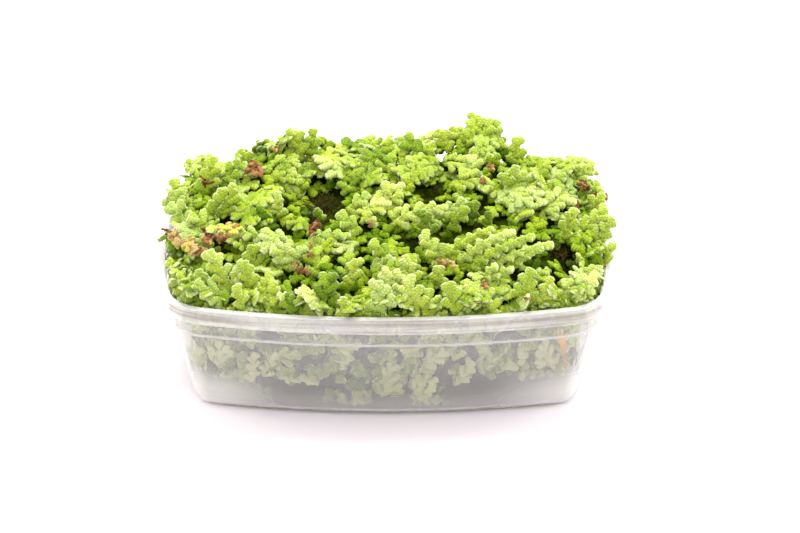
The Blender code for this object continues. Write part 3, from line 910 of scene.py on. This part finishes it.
# Sprays that stand out in the photograph: pixel of the foot, pixel of the tip, lean towards the
# camera as a share of the length, how far the blade faces the camera, fullness, shade.
SPRAYS_SEEN = np.array([
    (323, 304, 325, 270, 0.1, 1.0, 0.9, 3.8), (383, 319, 381, 284, 0.2, 1.0, 0.9, 9.5),
    (352, 283, 352, 256, 0.1, 0.9, 0.8, 7.5), (371, 265, 396, 257, 0.2, 0.6, 0.8, 10.0),
    (249, 291, 247, 258, 0.2, 0.9, 0.8, 7.0), (302, 264, 270, 231, 0.1, 0.7, 0.7, 9.5),
    (254, 266, 250, 242, 0.1, 0.9, 1.0, 7.0), (349, 270, 346, 295, 0.6, 0.7, 0.7, 1.0),
    (446, 254, 486, 219, 0.2, 0.7, 0.46, 7.0), (458, 260, 503, 219, 0.3, 0.6, 0.40, 9.0),
    (471, 266, 523, 226, 0.3, 0.6, 0.38, 7.0), (486, 268, 541, 231, 0.3, 0.6, 0.37, 9.0),
    (500, 272, 540, 246, 0.4, 0.5, 0.36, 7.5), (478, 280, 512, 266, 0.4, 0.5, 0.45, 8.5),
    (480, 281, 497, 262, 0.4, 0.5, 0.6, 8.0), (595, 241, 575, 267, 0.4, 0.8, 0.8, 1.0),
    (575, 219, 549, 254, 0.5, 0.8, 0.6, 6.0), (563, 236, 580, 208, 0.2, 0.9, 0.7, 7.0),
    (582, 228, 610, 208, 0.2, 0.7, 0.8, 7.5), (526, 302, 524, 265, 0.1, 1.0, 0.8, 6.5),
    (540, 300, 551, 272, 0.1, 1.0, 0.7, 8.0), (571, 299, 612, 287, 0.2, 0.9, 0.9, 10.0),
    (470, 222, 473, 197, 0.1, 0.9, 0.8, 2.6), (489, 222, 490, 208, 0.1, 0.9, 0.8, 4.0),
    (428, 232, 425, 205, 0.2, 0.8, 0.8, 4.0), (448, 226, 468, 204, 0.2, 0.7, 0.7, 5.0),
    (391, 222, 440, 194, 0.3, 0.6, 0.7, 9.0), (430, 216, 466, 197, 0.3, 0.6, 0.6, 8.5),
    (200, 192, 165, 172, 0.2, 0.7, 0.8, 9.0), (204, 191, 218, 154, 0.1, 0.7, 0.7, 6.0),
    (269, 237, 208, 221, 0.2, 0.5, 0.5, 9.5), (279, 213, 279, 187, 0.1, 0.9, 0.6, 8.0),
    (228, 287, 216, 246, 0.2, 0.9, 0.8, 8.0), (256, 283, 236, 262, 0.3, 0.8, 0.8, 8.5),
    (223, 297, 186, 289, 0.3, 0.7, 0.8, 8.5), (236, 312, 233, 286, 0.2, 1.0, 0.8, 7.5),
    (283, 269, 253, 266, 0.1, 0.1, 0.7, 9.0), (280, 280, 260, 277, 0.1, 0.1, 0.7, 8.5),
    (318, 152, 307, 126, 0.0, 0.8, 0.8, 6.0), (300, 150, 292, 132, 0.0, 0.8, 0.8, 7.0),
    (482, 142, 487, 112, -0.3, 0.8, 0.8, 6.5), (462, 140, 452, 122, -0.2, 0.8, 0.8, 7.0),
    (503, 144, 496, 122, -0.2, 0.8, 0.8, 6.0), (418, 309, 412, 276, 0.2, 1.0, 0.9, 8.5),
    (455, 312, 448, 280, 0.2, 0.9, 0.8, 7.0), (345, 318, 340, 296, 0.2, 0.9, 0.8, 7.5),
    (290, 312, 284, 290, 0.1, 0.9, 0.8, 4.0), (598, 262, 614, 219, 0.1, 0.8, 0.6, 7.0),
    (468, 144, 471, 114, -0.3, 0.8, 0.8, 7.5), (494, 142, 499, 115, -0.3, 0.8, 0.8, 7.0),
    (448, 150, 440, 124, 0.0, 0.8, 0.8, 6.5), (590, 210, 606, 190, 0.0, 0.8, 0.8, 6.5),
    (188, 200, 166, 178, 0.0, 0.8, 0.8, 7.5), (323, 216, 319, 206, 0.1, 0.9, 0.6, 4.5),
    (362, 228, 335, 214, 0.2, 0.6, 0.8, 7.5), (313, 236, 350, 230, 0.2, 0.4, 0.6, 8.5),
    (346, 206, 372, 196, 0.2, 0.6, 0.8, 8.5), (478, 143, 481, 110, -0.35, 0.8, 0.9, 6.5),
    (490, 144, 492, 112, -0.35, 0.8, 0.9, 7.5), (300, 154, 299, 121, 0.0, 0.8, 0.9, 6.5),
    (249, 168, 244, 138, 0.0, 0.8, 0.8, 6.0), (517, 162, 521, 133, 0.0, 0.8, 0.8, 7.0),
    (597, 240, 617, 216, 0.1, 0.8, 0.7, 8.0), (447, 262, 419, 235, 0.2, 0.7, 0.7, 8.0),
    (412, 283, 409, 252, 0.2, 0.8, 0.8, 8.5), (398, 262, 370, 241, 0.2, 0.6, 0.7, 5.5),
    (441, 285, 436, 263, 0.2, 0.8, 0.8, 7.0),
])
SEEN_WIDTH = 11.0


def in_the_clear(middle, reach, top):
    """Whether a spray may lie here, by its middle and the way from it to its tip: outside every
    opening from end to end and, on top, not over a spray set by the photograph, by the distance from
    each such spray's line in the picture."""
    keep = np.ones(len(middle), dtype=bool)
    clearance = 1.15 if top else 0.7
    for middle_x, middle_y, radius in OPENINGS:
        for share in (-0.8, -0.4, 0.0, 0.4, 0.8, 1.2):
            point = middle + share * reach
            from_middle = np.hypot(point[:, 0] - middle_x, point[:, 1] - middle_y)
            keep &= from_middle > radius * clearance
    u, v = pixel_of(middle + 0.3 * reach)
    for foot_u, foot_v, tip_u, tip_v in SPRAYS_SEEN[:, :4] if top else ():
        run_u, run_v = tip_u - foot_u, tip_v - foot_v
        share = np.clip(((u - foot_u) * run_u + (v - foot_v) * run_v) / (run_u**2 + run_v**2), 0, 1)
        keep &= np.hypot(u - foot_u - share * run_u, v - foot_v - share * run_v) > SEEN_WIDTH
    return keep


def strewn_sprays(kinds, spacing, depth, lift, shade, seed, top=True):
    """Sprays strewn over the heap at a depth under its surface. Each has the first of five headings
    that keeps its tip 3.5 mm inside the rim's edge, or the one that comes nearest to it, and its tip
    is raised above the surface by an angle that varies about the lift."""
    x, y = scattered(spacing, 6.5, seed)
    draw = np.random.default_rng(seed + 100)
    up = heap_normal(x, y)
    foot = vectors(x, y, heap_height(x, y) - depth)
    angle = draw.uniform(0, 2 * math.pi, (len(x), 5))
    tip_x, tip_y = x[:, None] + TIP_AHEAD * np.cos(angle), y[:, None] + TIP_AHEAD * np.sin(angle)
    tip_inset = plan_inset(tip_x, tip_y)
    angle = angle[np.arange(len(x)), np.minimum(tip_inset, 3.5).argmax(axis=1)]
    level = vectors(np.cos(angle), np.sin(angle), 0.0)
    level = unit(level - up * np.sum(level * up, axis=1, keepdims=True))
    most = 46.0 - 34.0 * np.clip(-1.3 * level[:, 1], 0, 1)
    raised = np.radians(np.clip(lift + 16 * draw.standard_normal(len(x)), -10, most))[:, None]
    forward = level * np.cos(raised) + up * np.sin(raised)
    normal = unit(up + 0.38 * draw.standard_normal((len(x), 3)))
    least = 0.55 - 0.5 * np.clip((y - 40) / 8, 0, 1)
    normal = normal + np.maximum(least - normal @ view_back, 0.0)[:, None] * view_back
    foot = foot - level * FOOT_BEHIND
    scale = draw.uniform(0.85, 1.12, len(x))
    arch = draw.uniform(0.05, 0.45, len(x))
    shades = np.clip(shade + 1.7 * draw.standard_normal(len(x)), 0.0, LAST_GREEN)
    keep = in_the_clear(foot + level * FOOT_BEHIND, level * TIP_AHEAD, top)
    sprays = [values[keep] for values in (foot, forward, normal, scale, arch, shades)]
    return place_sprays(kinds, *sprays, seed + 200)


def quarter_of(x, y):
    """Number of the tub's quarter: one more on the right, and two more at the back."""
    return (x > 0) * 1 + (y > 0) * 2


leaf_green = leaf_material("leaf_green", frosting=1.0, paleness=0.0, pale_colour=(0.92, 0.97, 0.64))
# leaf_shaded is a shaded copy of leaf_green, with weak pale edges, and the lower layer's darker greens
# below are painted shade.
leaf_shaded = leaf_material("leaf_shaded", frosting=0.25, paleness=0.0, pale_colour=(0.80, 0.92, 0.40))
top_fingers = strewn_sprays(spray_kinds, spacing=7.7, depth=2.6, lift=24, shade=7.0, seed=21)
low_fingers = strewn_sprays(small_kinds, spacing=6.7, depth=4.6, lift=14, shade=5.4, seed=31, top=False)
quarter = quarter_of(top_fingers[0][:, 0, 2, 0], top_fingers[0][:, 0, 2, 1])
for number, region in enumerate(("front_left", "front_right", "back_left", "back_right")):
    chosen = tuple(values[quarter == number] for values in top_fingers)
    piece = finger_piece("sprays_" + region, [chosen], leaf_green)
    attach(piece, "root")
    nodes_here = []
    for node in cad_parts:
        if node.startswith("frond"):
            low_corner, high_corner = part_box(node)
            if quarter_of(low_corner[0] + high_corner[0], low_corner[1] + high_corner[1]) == number:
                nodes_here.append(node)
    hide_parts(*nodes_here)
low = finger_piece("lower_sprays", [low_fingers], leaf_shaded)
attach(low, "root")


def single_sprays(draw, foot, forward, normal, arch, fullness, shade, seed, most_shift=9.0):
    """Sprays that are set one by one, each grown to the length of its way from foot to tip."""
    length = np.linalg.norm(forward, axis=1)
    kinds = [grow_spray(draw, *size) for size in zip(length, fullness)]
    count = len(foot)
    sprays = foot, forward, normal, np.ones(count), np.full(count, arch), shade
    return place_sprays(kinds, *sprays, seed, np.arange(count), most_shift)


foot_u, foot_v, tip_u, tip_v, lean, face, fullness, seen_shade = SPRAYS_SEEN.T
seen_foot = on_heap(foot_u, foot_v)
seen_foot = seen_foot - 1.6 * heap_normal(seen_foot[:, 0], seen_foot[:, 1])
run = np.stack([tip_u - foot_u, foot_v - tip_v], axis=-1) / PIXELS_PER_MM
span = np.linalg.norm(run, axis=1)
seen_forward = run[:, :1] * view_right + run[:, 1:] * view_up
seen_forward = seen_forward + (lean * span)[:, None] * view_back
upward = np.array([0.0, 0.0, 1.0])
seen_normal = face[:, None] * view_back + (1.05 - face)[:, None] * upward
seen_fingers = single_sprays(
    spray_draw, seen_foot, seen_forward, seen_normal, 0.22, fullness, seen_shade, 51
)
seen = finger_piece("seen_sprays", [seen_fingers], leaf_green)
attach(seen, "root")


# Sprays against the tub. The outermost plants of the heap: a row that leans out over the edge of the
# heap to the rim, and below it sprays pressed flat against the inside of the wall, seen through it.

RIM_SPRAYS = 130
LIP_SPRAYS = 150
SLOPE_SPRAYS = 170
WALL_SPRAYS = 900
WALL_HEIGHTS = (3.0, 46.0)
WALL_GAP = (1.6, 5.4)

# Share of a quarter's arc length at the ends of its short side and of its corner.
QUARTER_SHARES = (0.31, 0.50)


def wall_frame(turn, inset):
    """Points at an inset round the tub, with the outward and the sideways direction at each: the
    sideways one runs to the next point, and the outward one lies level at a right angle to it."""
    x, y = tub_plan(inset, turn)
    next_x, next_y = tub_plan(inset, (turn + 0.002) % 1.0)
    sideways = unit(vectors(next_x - x, next_y - y, 0.0))
    outward = vectors(sideways[:, 1], -sideways[:, 0], 0.0)
    return x, y, outward, sideways


def even_turn(share):
    """The turn of tub_plan at a share of the tub's outline by length, the same in each quarter."""
    quarter = np.floor(share * 4)
    part = share * 4 - quarter
    part = np.where(quarter % 2 == 1, 1 - part, part)
    part = np.interp(part, (0.0, *QUARTER_SHARES, 1.0), (0.0, *CORNER_SHARES, 1.0))
    return (quarter + np.clip(np.where(quarter % 2 == 1, 1 - part, part), 0.0, 0.9999)) / 4


edge_draw = np.random.default_rng(41)


def turns_in_a_row(count):
    """Turns spaced evenly round the tub, each moved by up to 0.3 of the spacing."""
    return even_turn((np.arange(count) + 0.6 * edge_draw.uniform(-0.5, 0.5, count)) / count % 1.0)


def edge_shades(middle, spread, count):
    """Green shades that vary about a middle one."""
    return np.clip(middle + spread * edge_draw.standard_normal(count), 0.0, LAST_GREEN)


# Sprays that lean out from the heap's edge over the rim.
turn = turns_in_a_row(RIM_SPRAYS)
x, y, outward, sideways = wall_frame(turn, edge_draw.uniform(8.5, 12.5, RIM_SPRAYS))
swing = edge_draw.uniform(-1.1, 1.1, RIM_SPRAYS)[:, None]
upright = edge_draw.uniform(0.05, 0.75, RIM_SPRAYS)[:, None]
forward = outward * np.cos(swing) + sideways * np.sin(swing) + upward * upright
normal = upward + 0.45 * outward + 0.25 * edge_draw.standard_normal((RIM_SPRAYS, 3))
foot = vectors(x, y, heap_height(x, y) - edge_draw.uniform(1.5, 5.0, RIM_SPRAYS))
shades = edge_shades(6.5, 1.7, RIM_SPRAYS)
scale = edge_draw.uniform(0.8, 1.0, RIM_SPRAYS)
arch = edge_draw.uniform(0.1, 0.5, RIM_SPRAYS)
rim_fingers = place_sprays(small_kinds, foot, forward, normal, scale, arch, shades, 42, most_shift=1.5)

# Sprays that lie along the inside of the rim.
turn = turns_in_a_row(LIP_SPRAYS)
x, y, outward, sideways = wall_frame(turn, edge_draw.uniform(3.4, 6.2, LIP_SPRAYS))
side = edge_draw.choice([-1, 1], LIP_SPRAYS)
swing = (side * edge_draw.uniform(0.7, 1.7, LIP_SPRAYS))[:, None]
forward = outward * np.cos(swing) + sideways * np.sin(swing) + 0.15 * upward
normal = upward + 0.7 * outward + 0.2 * edge_draw.standard_normal((LIP_SPRAYS, 3))
foot = vectors(x, y, TUB_TOP + edge_draw.uniform(-2.5, -0.5, LIP_SPRAYS)) - 4.0 * forward
shades = edge_shades(6.2, 1.8, LIP_SPRAYS)
scale = edge_draw.uniform(0.75, 0.95, LIP_SPRAYS)
arch = np.full(LIP_SPRAYS, 0.1)
lip_fingers = place_sprays(small_kinds, foot, forward, normal, scale, arch, shades, 44, most_shift=3.0)

# Sprays on the heap's flanks, from the rim up, where the heap is steep.
turn = even_turn(edge_draw.uniform(0.0, 1.0, SLOPE_SPRAYS))
climb = edge_draw.uniform(0.0, 1.0, SLOPE_SPRAYS)
x, y, outward, sideways = wall_frame(turn, 6.0 + 7.0 * climb)
inner_x, inner_y = tub_plan(14.0, turn)
rise = heap_height(inner_x, inner_y) - TUB_TOP
angle = edge_draw.uniform(-0.6, math.pi + 0.6, SLOPE_SPRAYS)[:, None]
forward = sideways * np.cos(angle) + (0.9 * upward - 0.35 * outward) * np.sin(angle)
normal = outward + 0.7 * upward + 0.35 * edge_draw.standard_normal((SLOPE_SPRAYS, 3))
foot = vectors(x, y, TUB_TOP - 1.5 + climb * (rise - 1.0)) - 4.0 * forward
shades = edge_shades(6.0, 1.8, SLOPE_SPRAYS)
scale = edge_draw.uniform(0.85, 1.1, SLOPE_SPRAYS)
arch = edge_draw.uniform(0.0, 0.3, SLOPE_SPRAYS)
slope_sprays = [values[rise > 4.5] for values in (foot, forward, normal, scale, arch, shades)]
slope_fingers = place_sprays(small_kinds, *slope_sprays, 46, most_shift=4.0)

# Sprays pressed against the wall, fewer at the ends and the back, and none behind its bare parts,
# which are in pixels of the photograph: left, top, right, bottom.
BARE_PIXELS = [(262, 372, 312, 420), (448, 374, 620, 420), (150, 404, 620, 430), (150, 374, 212, 420)]
turn = even_turn(edge_draw.uniform(0.0, 1.0, WALL_SPRAYS))
height = edge_draw.uniform(*WALL_HEIGHTS, WALL_SPRAYS)
x, y = tub_plan(wall_inset(height) + edge_draw.uniform(*WALL_GAP, WALL_SPRAYS), turn)
u, v = pixel_of(vectors(x, y, height))
far_end = np.clip((np.abs(x) - 52) / 26, 0, 1) * (1 - 0.6 * height / TUB_TOP)
inset = wall_inset(height) + 8.5 * far_end + edge_draw.uniform(*WALL_GAP, WALL_SPRAYS)
x, y, outward, sideways = wall_frame(turn, inset)
bare = np.zeros(WALL_SPRAYS, dtype=bool)
for left, top, right, bottom in BARE_PIXELS:
    bare |= (y < -20) & (u > left) & (u < right) & (v > top) & (v < bottom)
thinned = (y > -20) & (edge_draw.uniform(0, 1, WALL_SPRAYS) < 0.45)
angle = edge_draw.uniform(0, 2 * math.pi, WALL_SPRAYS)[:, None]
forward = sideways * np.cos(angle) + upward * np.sin(angle)
normal = outward + 0.5 * edge_draw.standard_normal((WALL_SPRAYS, 3))
foot = vectors(x, y, height) - forward * 4.5
foot[:, 2] = np.clip(foot[:, 2], 3.0, 45.0)
shades = edge_shades(6.2, 3.8, WALL_SPRAYS)
scale = edge_draw.uniform(0.8, 1.1, WALL_SPRAYS)
arch = edge_draw.uniform(0.0, 0.25, WALL_SPRAYS)
wall_sprays = [values[~bare & ~thinned] for values in (foot, forward, normal, scale, arch, shades)]
wall_fingers = place_sprays(small_kinds, *wall_sprays, 43, most_shift=1.5)
rim_row = finger_piece("rim_sprays", [rim_fingers, lip_fingers], leaf_green)
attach(rim_row, "root")
slope_row = finger_piece("slope_sprays", [slope_fingers], leaf_green)
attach(slope_row, "root")
# Painted light: the sprays against the wall get a paler copy of the leaf finish with brighter edges,
# standing in for the light that reaches them through the plastic.
leaf_painted_light = leaf_material("leaf_painted_light", frosting=2.0, paleness=0.05, pale_colour=(0.96, 1.0, 0.72))
on_front = wall_fingers[0][:, 0, 2, 1] < 0
for name, chosen in (("wall_sprays_front", on_front), ("wall_sprays_back", ~on_front)):
    wall_row = finger_piece(name, [tuple(values[chosen] for values in wall_fingers)], leaf_painted_light)
    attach(wall_row, "root")


# Sprays that stand out behind the front wall in the photograph: pixel of the foot, pixel of the tip,
# fullness, shade.
WALL_SEEN = np.array([
    (249, 381, 252, 352, 0.5, 10.9), (262, 376, 268, 350, 0.5, 10.9),
    (217, 368, 222, 342, 0.9, 10.5), (196, 366, 192, 346, 0.9, 8.5), (276, 377, 300, 381, 0.5, 9.0),
    (318, 384, 296, 377, 0.5, 9.5), (350, 356, 338, 372, 0.5, 10.0), (382, 398, 396, 366, 0.9, 8.0),
    (412, 400, 438, 372, 0.8, 9.0), (455, 384, 478, 364, 0.7, 9.0), (500, 372, 528, 352, 0.8, 8.5),
    (557, 368, 541, 346, 0.9, 11.0), (424, 366, 446, 348, 0.8, 9.5), (338, 350, 360, 344, 0.7, 9.5),
])
foot_u, foot_v, tip_u, tip_v, fullness, seen_shade = WALL_SEEN.T


def behind_wall(points):
    """Whether points lie at least 0.6 mm inside the tub's wall."""
    return plan_inset(points[..., 0], points[..., 1]) > wall_inset(points[..., 2]) + 0.6


seen_foot = on_rays(foot_u, foot_v, behind_wall)
seen_forward = on_rays(tip_u, tip_v, behind_wall) - seen_foot
seen_normal = np.tile(view_back, (len(seen_foot), 1))
wall_seen_fingers = single_sprays(
    edge_draw, seen_foot, seen_forward, seen_normal, 0.0, fullness, seen_shade, 45, 1.5
)
# leaf_bright is paler still: partly these sprays' own pale yellow-green, and partly painted light as for
# the sprays behind the wall.
leaf_bright = leaf_material("leaf_bright", frosting=1.8, paleness=0.42, pale_colour=(1.0, 1.0, 0.66))
wall_seen = finger_piece("wall_sprays_seen", [wall_seen_fingers], leaf_bright)
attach(wall_seen, "root")


# Old sprays. Withered plants that have turned ochre, orange and red-brown and curled up, a few at
# each place, with the rest of the heap green around them.

# Pixel of the place, length in millimetres, how many, shade.
OLD_SPRAYS = np.array([
    (182, 242, 7.0, 6, 13.3), (190, 250, 7.0, 6, 12.9), (199, 254, 6.0, 3, 14.0),
    (211, 242, 6.5, 5, 14.6), (225, 243, 7.0, 3, 14.2), (236, 239, 10.0, 2, 12.2),
    (278, 154, 4.5, 2, 14.0), (311, 163, 3.5, 1, 14.5), (317, 236, 5.5, 2, 14.8),
    (309, 248, 3.5, 2, 13.5), (303, 259, 4.0, 2, 13.3), (304, 275, 4.5, 3, 14.6),
    (372, 227, 3.5, 1, 13.6), (314, 233, 3.5, 1, 15.0), (491, 172, 4.0, 2, 14.3),
    (479, 186, 4.0, 1, 14.3), (447, 270, 4.5, 2, 13.6), (485, 291, 4.0, 2, 14.0),
    (526, 302, 4.5, 2, 14.4), (592, 198, 4.5, 2, 15.0), (583, 190, 5.0, 3, 14.6),
    (574, 209, 4.0, 2, 14.5), (169, 234, 4.5, 1, 15.0), (208, 187, 7.0, 3, 14.8),
    (258, 177, 7.0, 3, 14.6), (414, 136, 3.0, 1, 14.0),
])

old_draw = np.random.default_rng(61)
old_kinds = [grow_spray(old_draw, length, 0.8) for length in (9.0, 10.5, 12.0)]
count = OLD_SPRAYS[:, 3].astype(int)
old_u, old_v, old_length, old_shade = (np.repeat(OLD_SPRAYS[:, column], count) for column in (0, 1, 2, 4))
total = len(old_u)
old_u = old_u + 3.5 * old_draw.standard_normal(total)
old_v = old_v + 2.5 * old_draw.standard_normal(total)
old_place = on_heap(old_u, old_v)
angle = old_draw.uniform(0, 2 * math.pi, total)
old_forward = vectors(np.cos(angle), np.sin(angle), old_draw.uniform(-0.3, 0.6, total))
old_normal = np.array([0.0, -0.5, 1.0]) + 0.6 * old_draw.standard_normal((total, 3))
old_foot = old_place + 2.6 * heap_normal(old_place[:, 0], old_place[:, 1])
old_foot = old_foot - unit(old_forward) * old_length[:, None] / 2
old_fingers = place_sprays(
    old_kinds, old_foot, old_forward, old_normal, old_length / 10.5, np.full(total, 0.6), old_shade, 62
)
old = finger_piece("old_sprays", [old_fingers], leaf_green)
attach(old, "root")


# Roots. Fine brown root hairs that hang from the plants: a tangle in each opening between them and
# some longer ones against the inside of the wall.

ROOT_SIDES = 5
ROOT_STEPS = 14
ROOT_RADIUS = 0.16
WALL_ROOTS = 60
ORANGE_ROOTS = 16
ORANGE_RADIUS = 0.24


def root_tubes(start, end, sag, radius, seed):
    """Closed tapering tubes from start to end, bent aside in a sine wave and sagging as a parabola,
    as points and triangles."""
    draw = np.random.default_rng(seed)
    share = np.linspace(0, 1, ROOT_STEPS)[None, :, None]
    run = (end - start)[:, None]
    aside = unit(np.cross(end - start, draw.standard_normal((len(start), 3))))[:, None]
    across = unit(np.cross(aside, run))
    swing = draw.uniform(0.03, 0.10, (len(start), 1, 1)) * np.linalg.norm(run, axis=-1, keepdims=True)
    wave = np.sin(share * draw.uniform(4, 11, (len(start), 1, 1)) + draw.uniform(0, 6, (len(start), 1, 1)))
    spine = start[:, None] + run * share + aside * swing * wave
    spine[..., 2:] = spine[..., 2:] - 4 * sag * share * (1 - share)
    angle = np.arange(ROOT_SIDES) * 2 * math.pi / ROOT_SIDES
    thick = radius * (1 - 0.75 * share)
    cosine, sine = np.cos(angle)[None, None, :, None], np.sin(angle)[None, None, :, None]
    ring = aside[:, :, None] * cosine + across[:, :, None] * sine
    points = spine[:, :, None] + ring * thick[:, :, None]
    step = np.arange(1, ROOT_SIDES - 1)
    last = (ROOT_STEPS - 1) * ROOT_SIDES
    caps = faces_of((0, step + 1, step), (last, last + step, last + step + 1))
    faces = np.vstack([ring_triangles(ROOT_STEPS, ROOT_SIDES), caps])
    return points.reshape(-1, 3), repeated_faces(faces, ROOT_STEPS * ROOT_SIDES, len(start))


def root_material(name, dark, light):
    """Patches of a dark and a light colour by a noise."""
    finish = Finish(name)
    patches = finish.noise(finish.place(), 180.0)
    finish.wire("Base Color", finish.ramp(patches, (0.35, dark), (0.65, light)))
    finish.fixed("Roughness", 0.6)
    finish.fixed("Specular IOR Level", 0.1)
    return finish.material


root_draw = np.random.default_rng(71)
starts, ends = [], []
for middle_x, middle_y, radius in OPENINGS:
    hairs = int(5 * radius)
    angle = root_draw.uniform(0, 2 * math.pi, (2, hairs))
    reach = radius * root_draw.uniform(0.5, 1.0, (2, hairs))
    for points, angles, reaches in ((starts, angle[0], reach[0]), (ends, angle[1], reach[1])):
        x, y = middle_x + reaches * np.cos(angles), middle_y + reaches * np.sin(angles)
        points.append(vectors(x, y, heap_height(x, y) - root_draw.uniform(2.0, 5.0, hairs)))
root_turn = root_draw.uniform(0, 1, WALL_ROOTS)
root_top = root_draw.uniform(14, 40, WALL_ROOTS)
starts.append(vectors(*tub_plan(wall_inset(root_top) + 0.9, root_turn), root_top))
root_low = np.maximum(root_top - root_draw.uniform(6, 20, WALL_ROOTS), 3.0)
root_turn = (root_turn + 0.012 * root_draw.standard_normal(WALL_ROOTS)) % 1.0
ends.append(vectors(*tub_plan(wall_inset(root_low) + 1.1, root_turn), root_low))
starts, ends = np.concatenate(starts), np.concatenate(ends)
root_points, root_triangles = root_tubes(starts, ends, 0.6, ROOT_RADIUS, 72)
dark_root = root_material("roots", (0.010, 0.007, 0.001), (0.085, 0.060, 0.010))
roots = mesh_piece("root_hairs", held_in(root_points), root_triangles, dark_root)
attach(roots, "root")

# The orange streak behind the front wall: the pixels that its hairs run between, across and down.
start_u = root_draw.uniform(558, 567, ORANGE_ROOTS)
end_u = root_draw.uniform(563, 570, ORANGE_ROOTS)
start_v = root_draw.uniform(328, 342, ORANGE_ROOTS)
end_v = root_draw.uniform(350, 374, ORANGE_ROOTS)
orange_starts = on_rays(start_u, start_v, behind_wall)
orange_ends = on_rays(end_u, end_v, behind_wall)
orange_points, orange_triangles = root_tubes(orange_starts, orange_ends, 0.3, ORANGE_RADIUS, 73)
orange_root = root_material("orange_roots", (0.72, 0.31, 0.002), (1.0, 0.60, 0.03))
orange_roots = mesh_piece("orange_root_hairs", held_in(orange_points), orange_triangles, orange_root)
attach(orange_roots, "root")


# Studio. A white floor that runs to the horizon and a bright white surround. Four soft lights: a
# large one above and behind the tub, a faint one before it, and one at each end.

FLOOR_REACH = 3000.0
LIGHTS_AIM = (0.0, 0.0, 0.04)

floor_finish = Finish("floor")
floor_finish.fixed("Base Color", (0.96, 0.915, 0.935, 1.0))
floor_finish.fixed("Roughness", 0.6)
floor_corners = np.array([(-1.0, -1.0, 0.0), (1.0, -1.0, 0.0), (1.0, 1.0, 0.0), (-1.0, 1.0, 0.0)])
floor_triangles = np.array([(0, 1, 2), (0, 2, 3)])
floor = mesh_piece("floor", floor_corners * FLOOR_REACH, floor_triangles, floor_finish.material)


def soft_light(name, place, size, power):
    """A square light at a place in metres, turned towards the aim."""
    data = bpy.data.lights.new(name, "AREA")
    data.shape = "SQUARE"
    data.size = size
    data.energy = power
    light = bpy.data.objects.new(name, data)
    light.location = place
    direction = np.subtract(place, LIGHTS_AIM)
    flat = math.hypot(direction[0], direction[1])
    light.rotation_euler = (math.atan2(flat, direction[2]), 0.0, math.atan2(direction[0], -direction[1]))
    bpy.context.scene.collection.objects.link(light)


soft_light("top_light", (0.1, 0.45, 1.1), 0.8, 17.9)
soft_light("front_light", (-0.5, -1.1, 0.9), 0.9, 0.6)
soft_light("left_light", (-1.1, 0.25, 0.4), 0.7, 6.5)
soft_light("right_light", (1.1, 0.25, 0.4), 0.7, 6.5)

world = bpy.data.worlds.new("surround")
world.use_nodes = True
world.node_tree.nodes["Background"].inputs["Color"].default_value = (1.0, 0.965, 0.985, 1.0)
world.node_tree.nodes["Background"].inputs["Strength"].default_value = 1.23
bpy.context.scene.world = world
bpy.context.scene.view_settings.view_transform = "Standard"
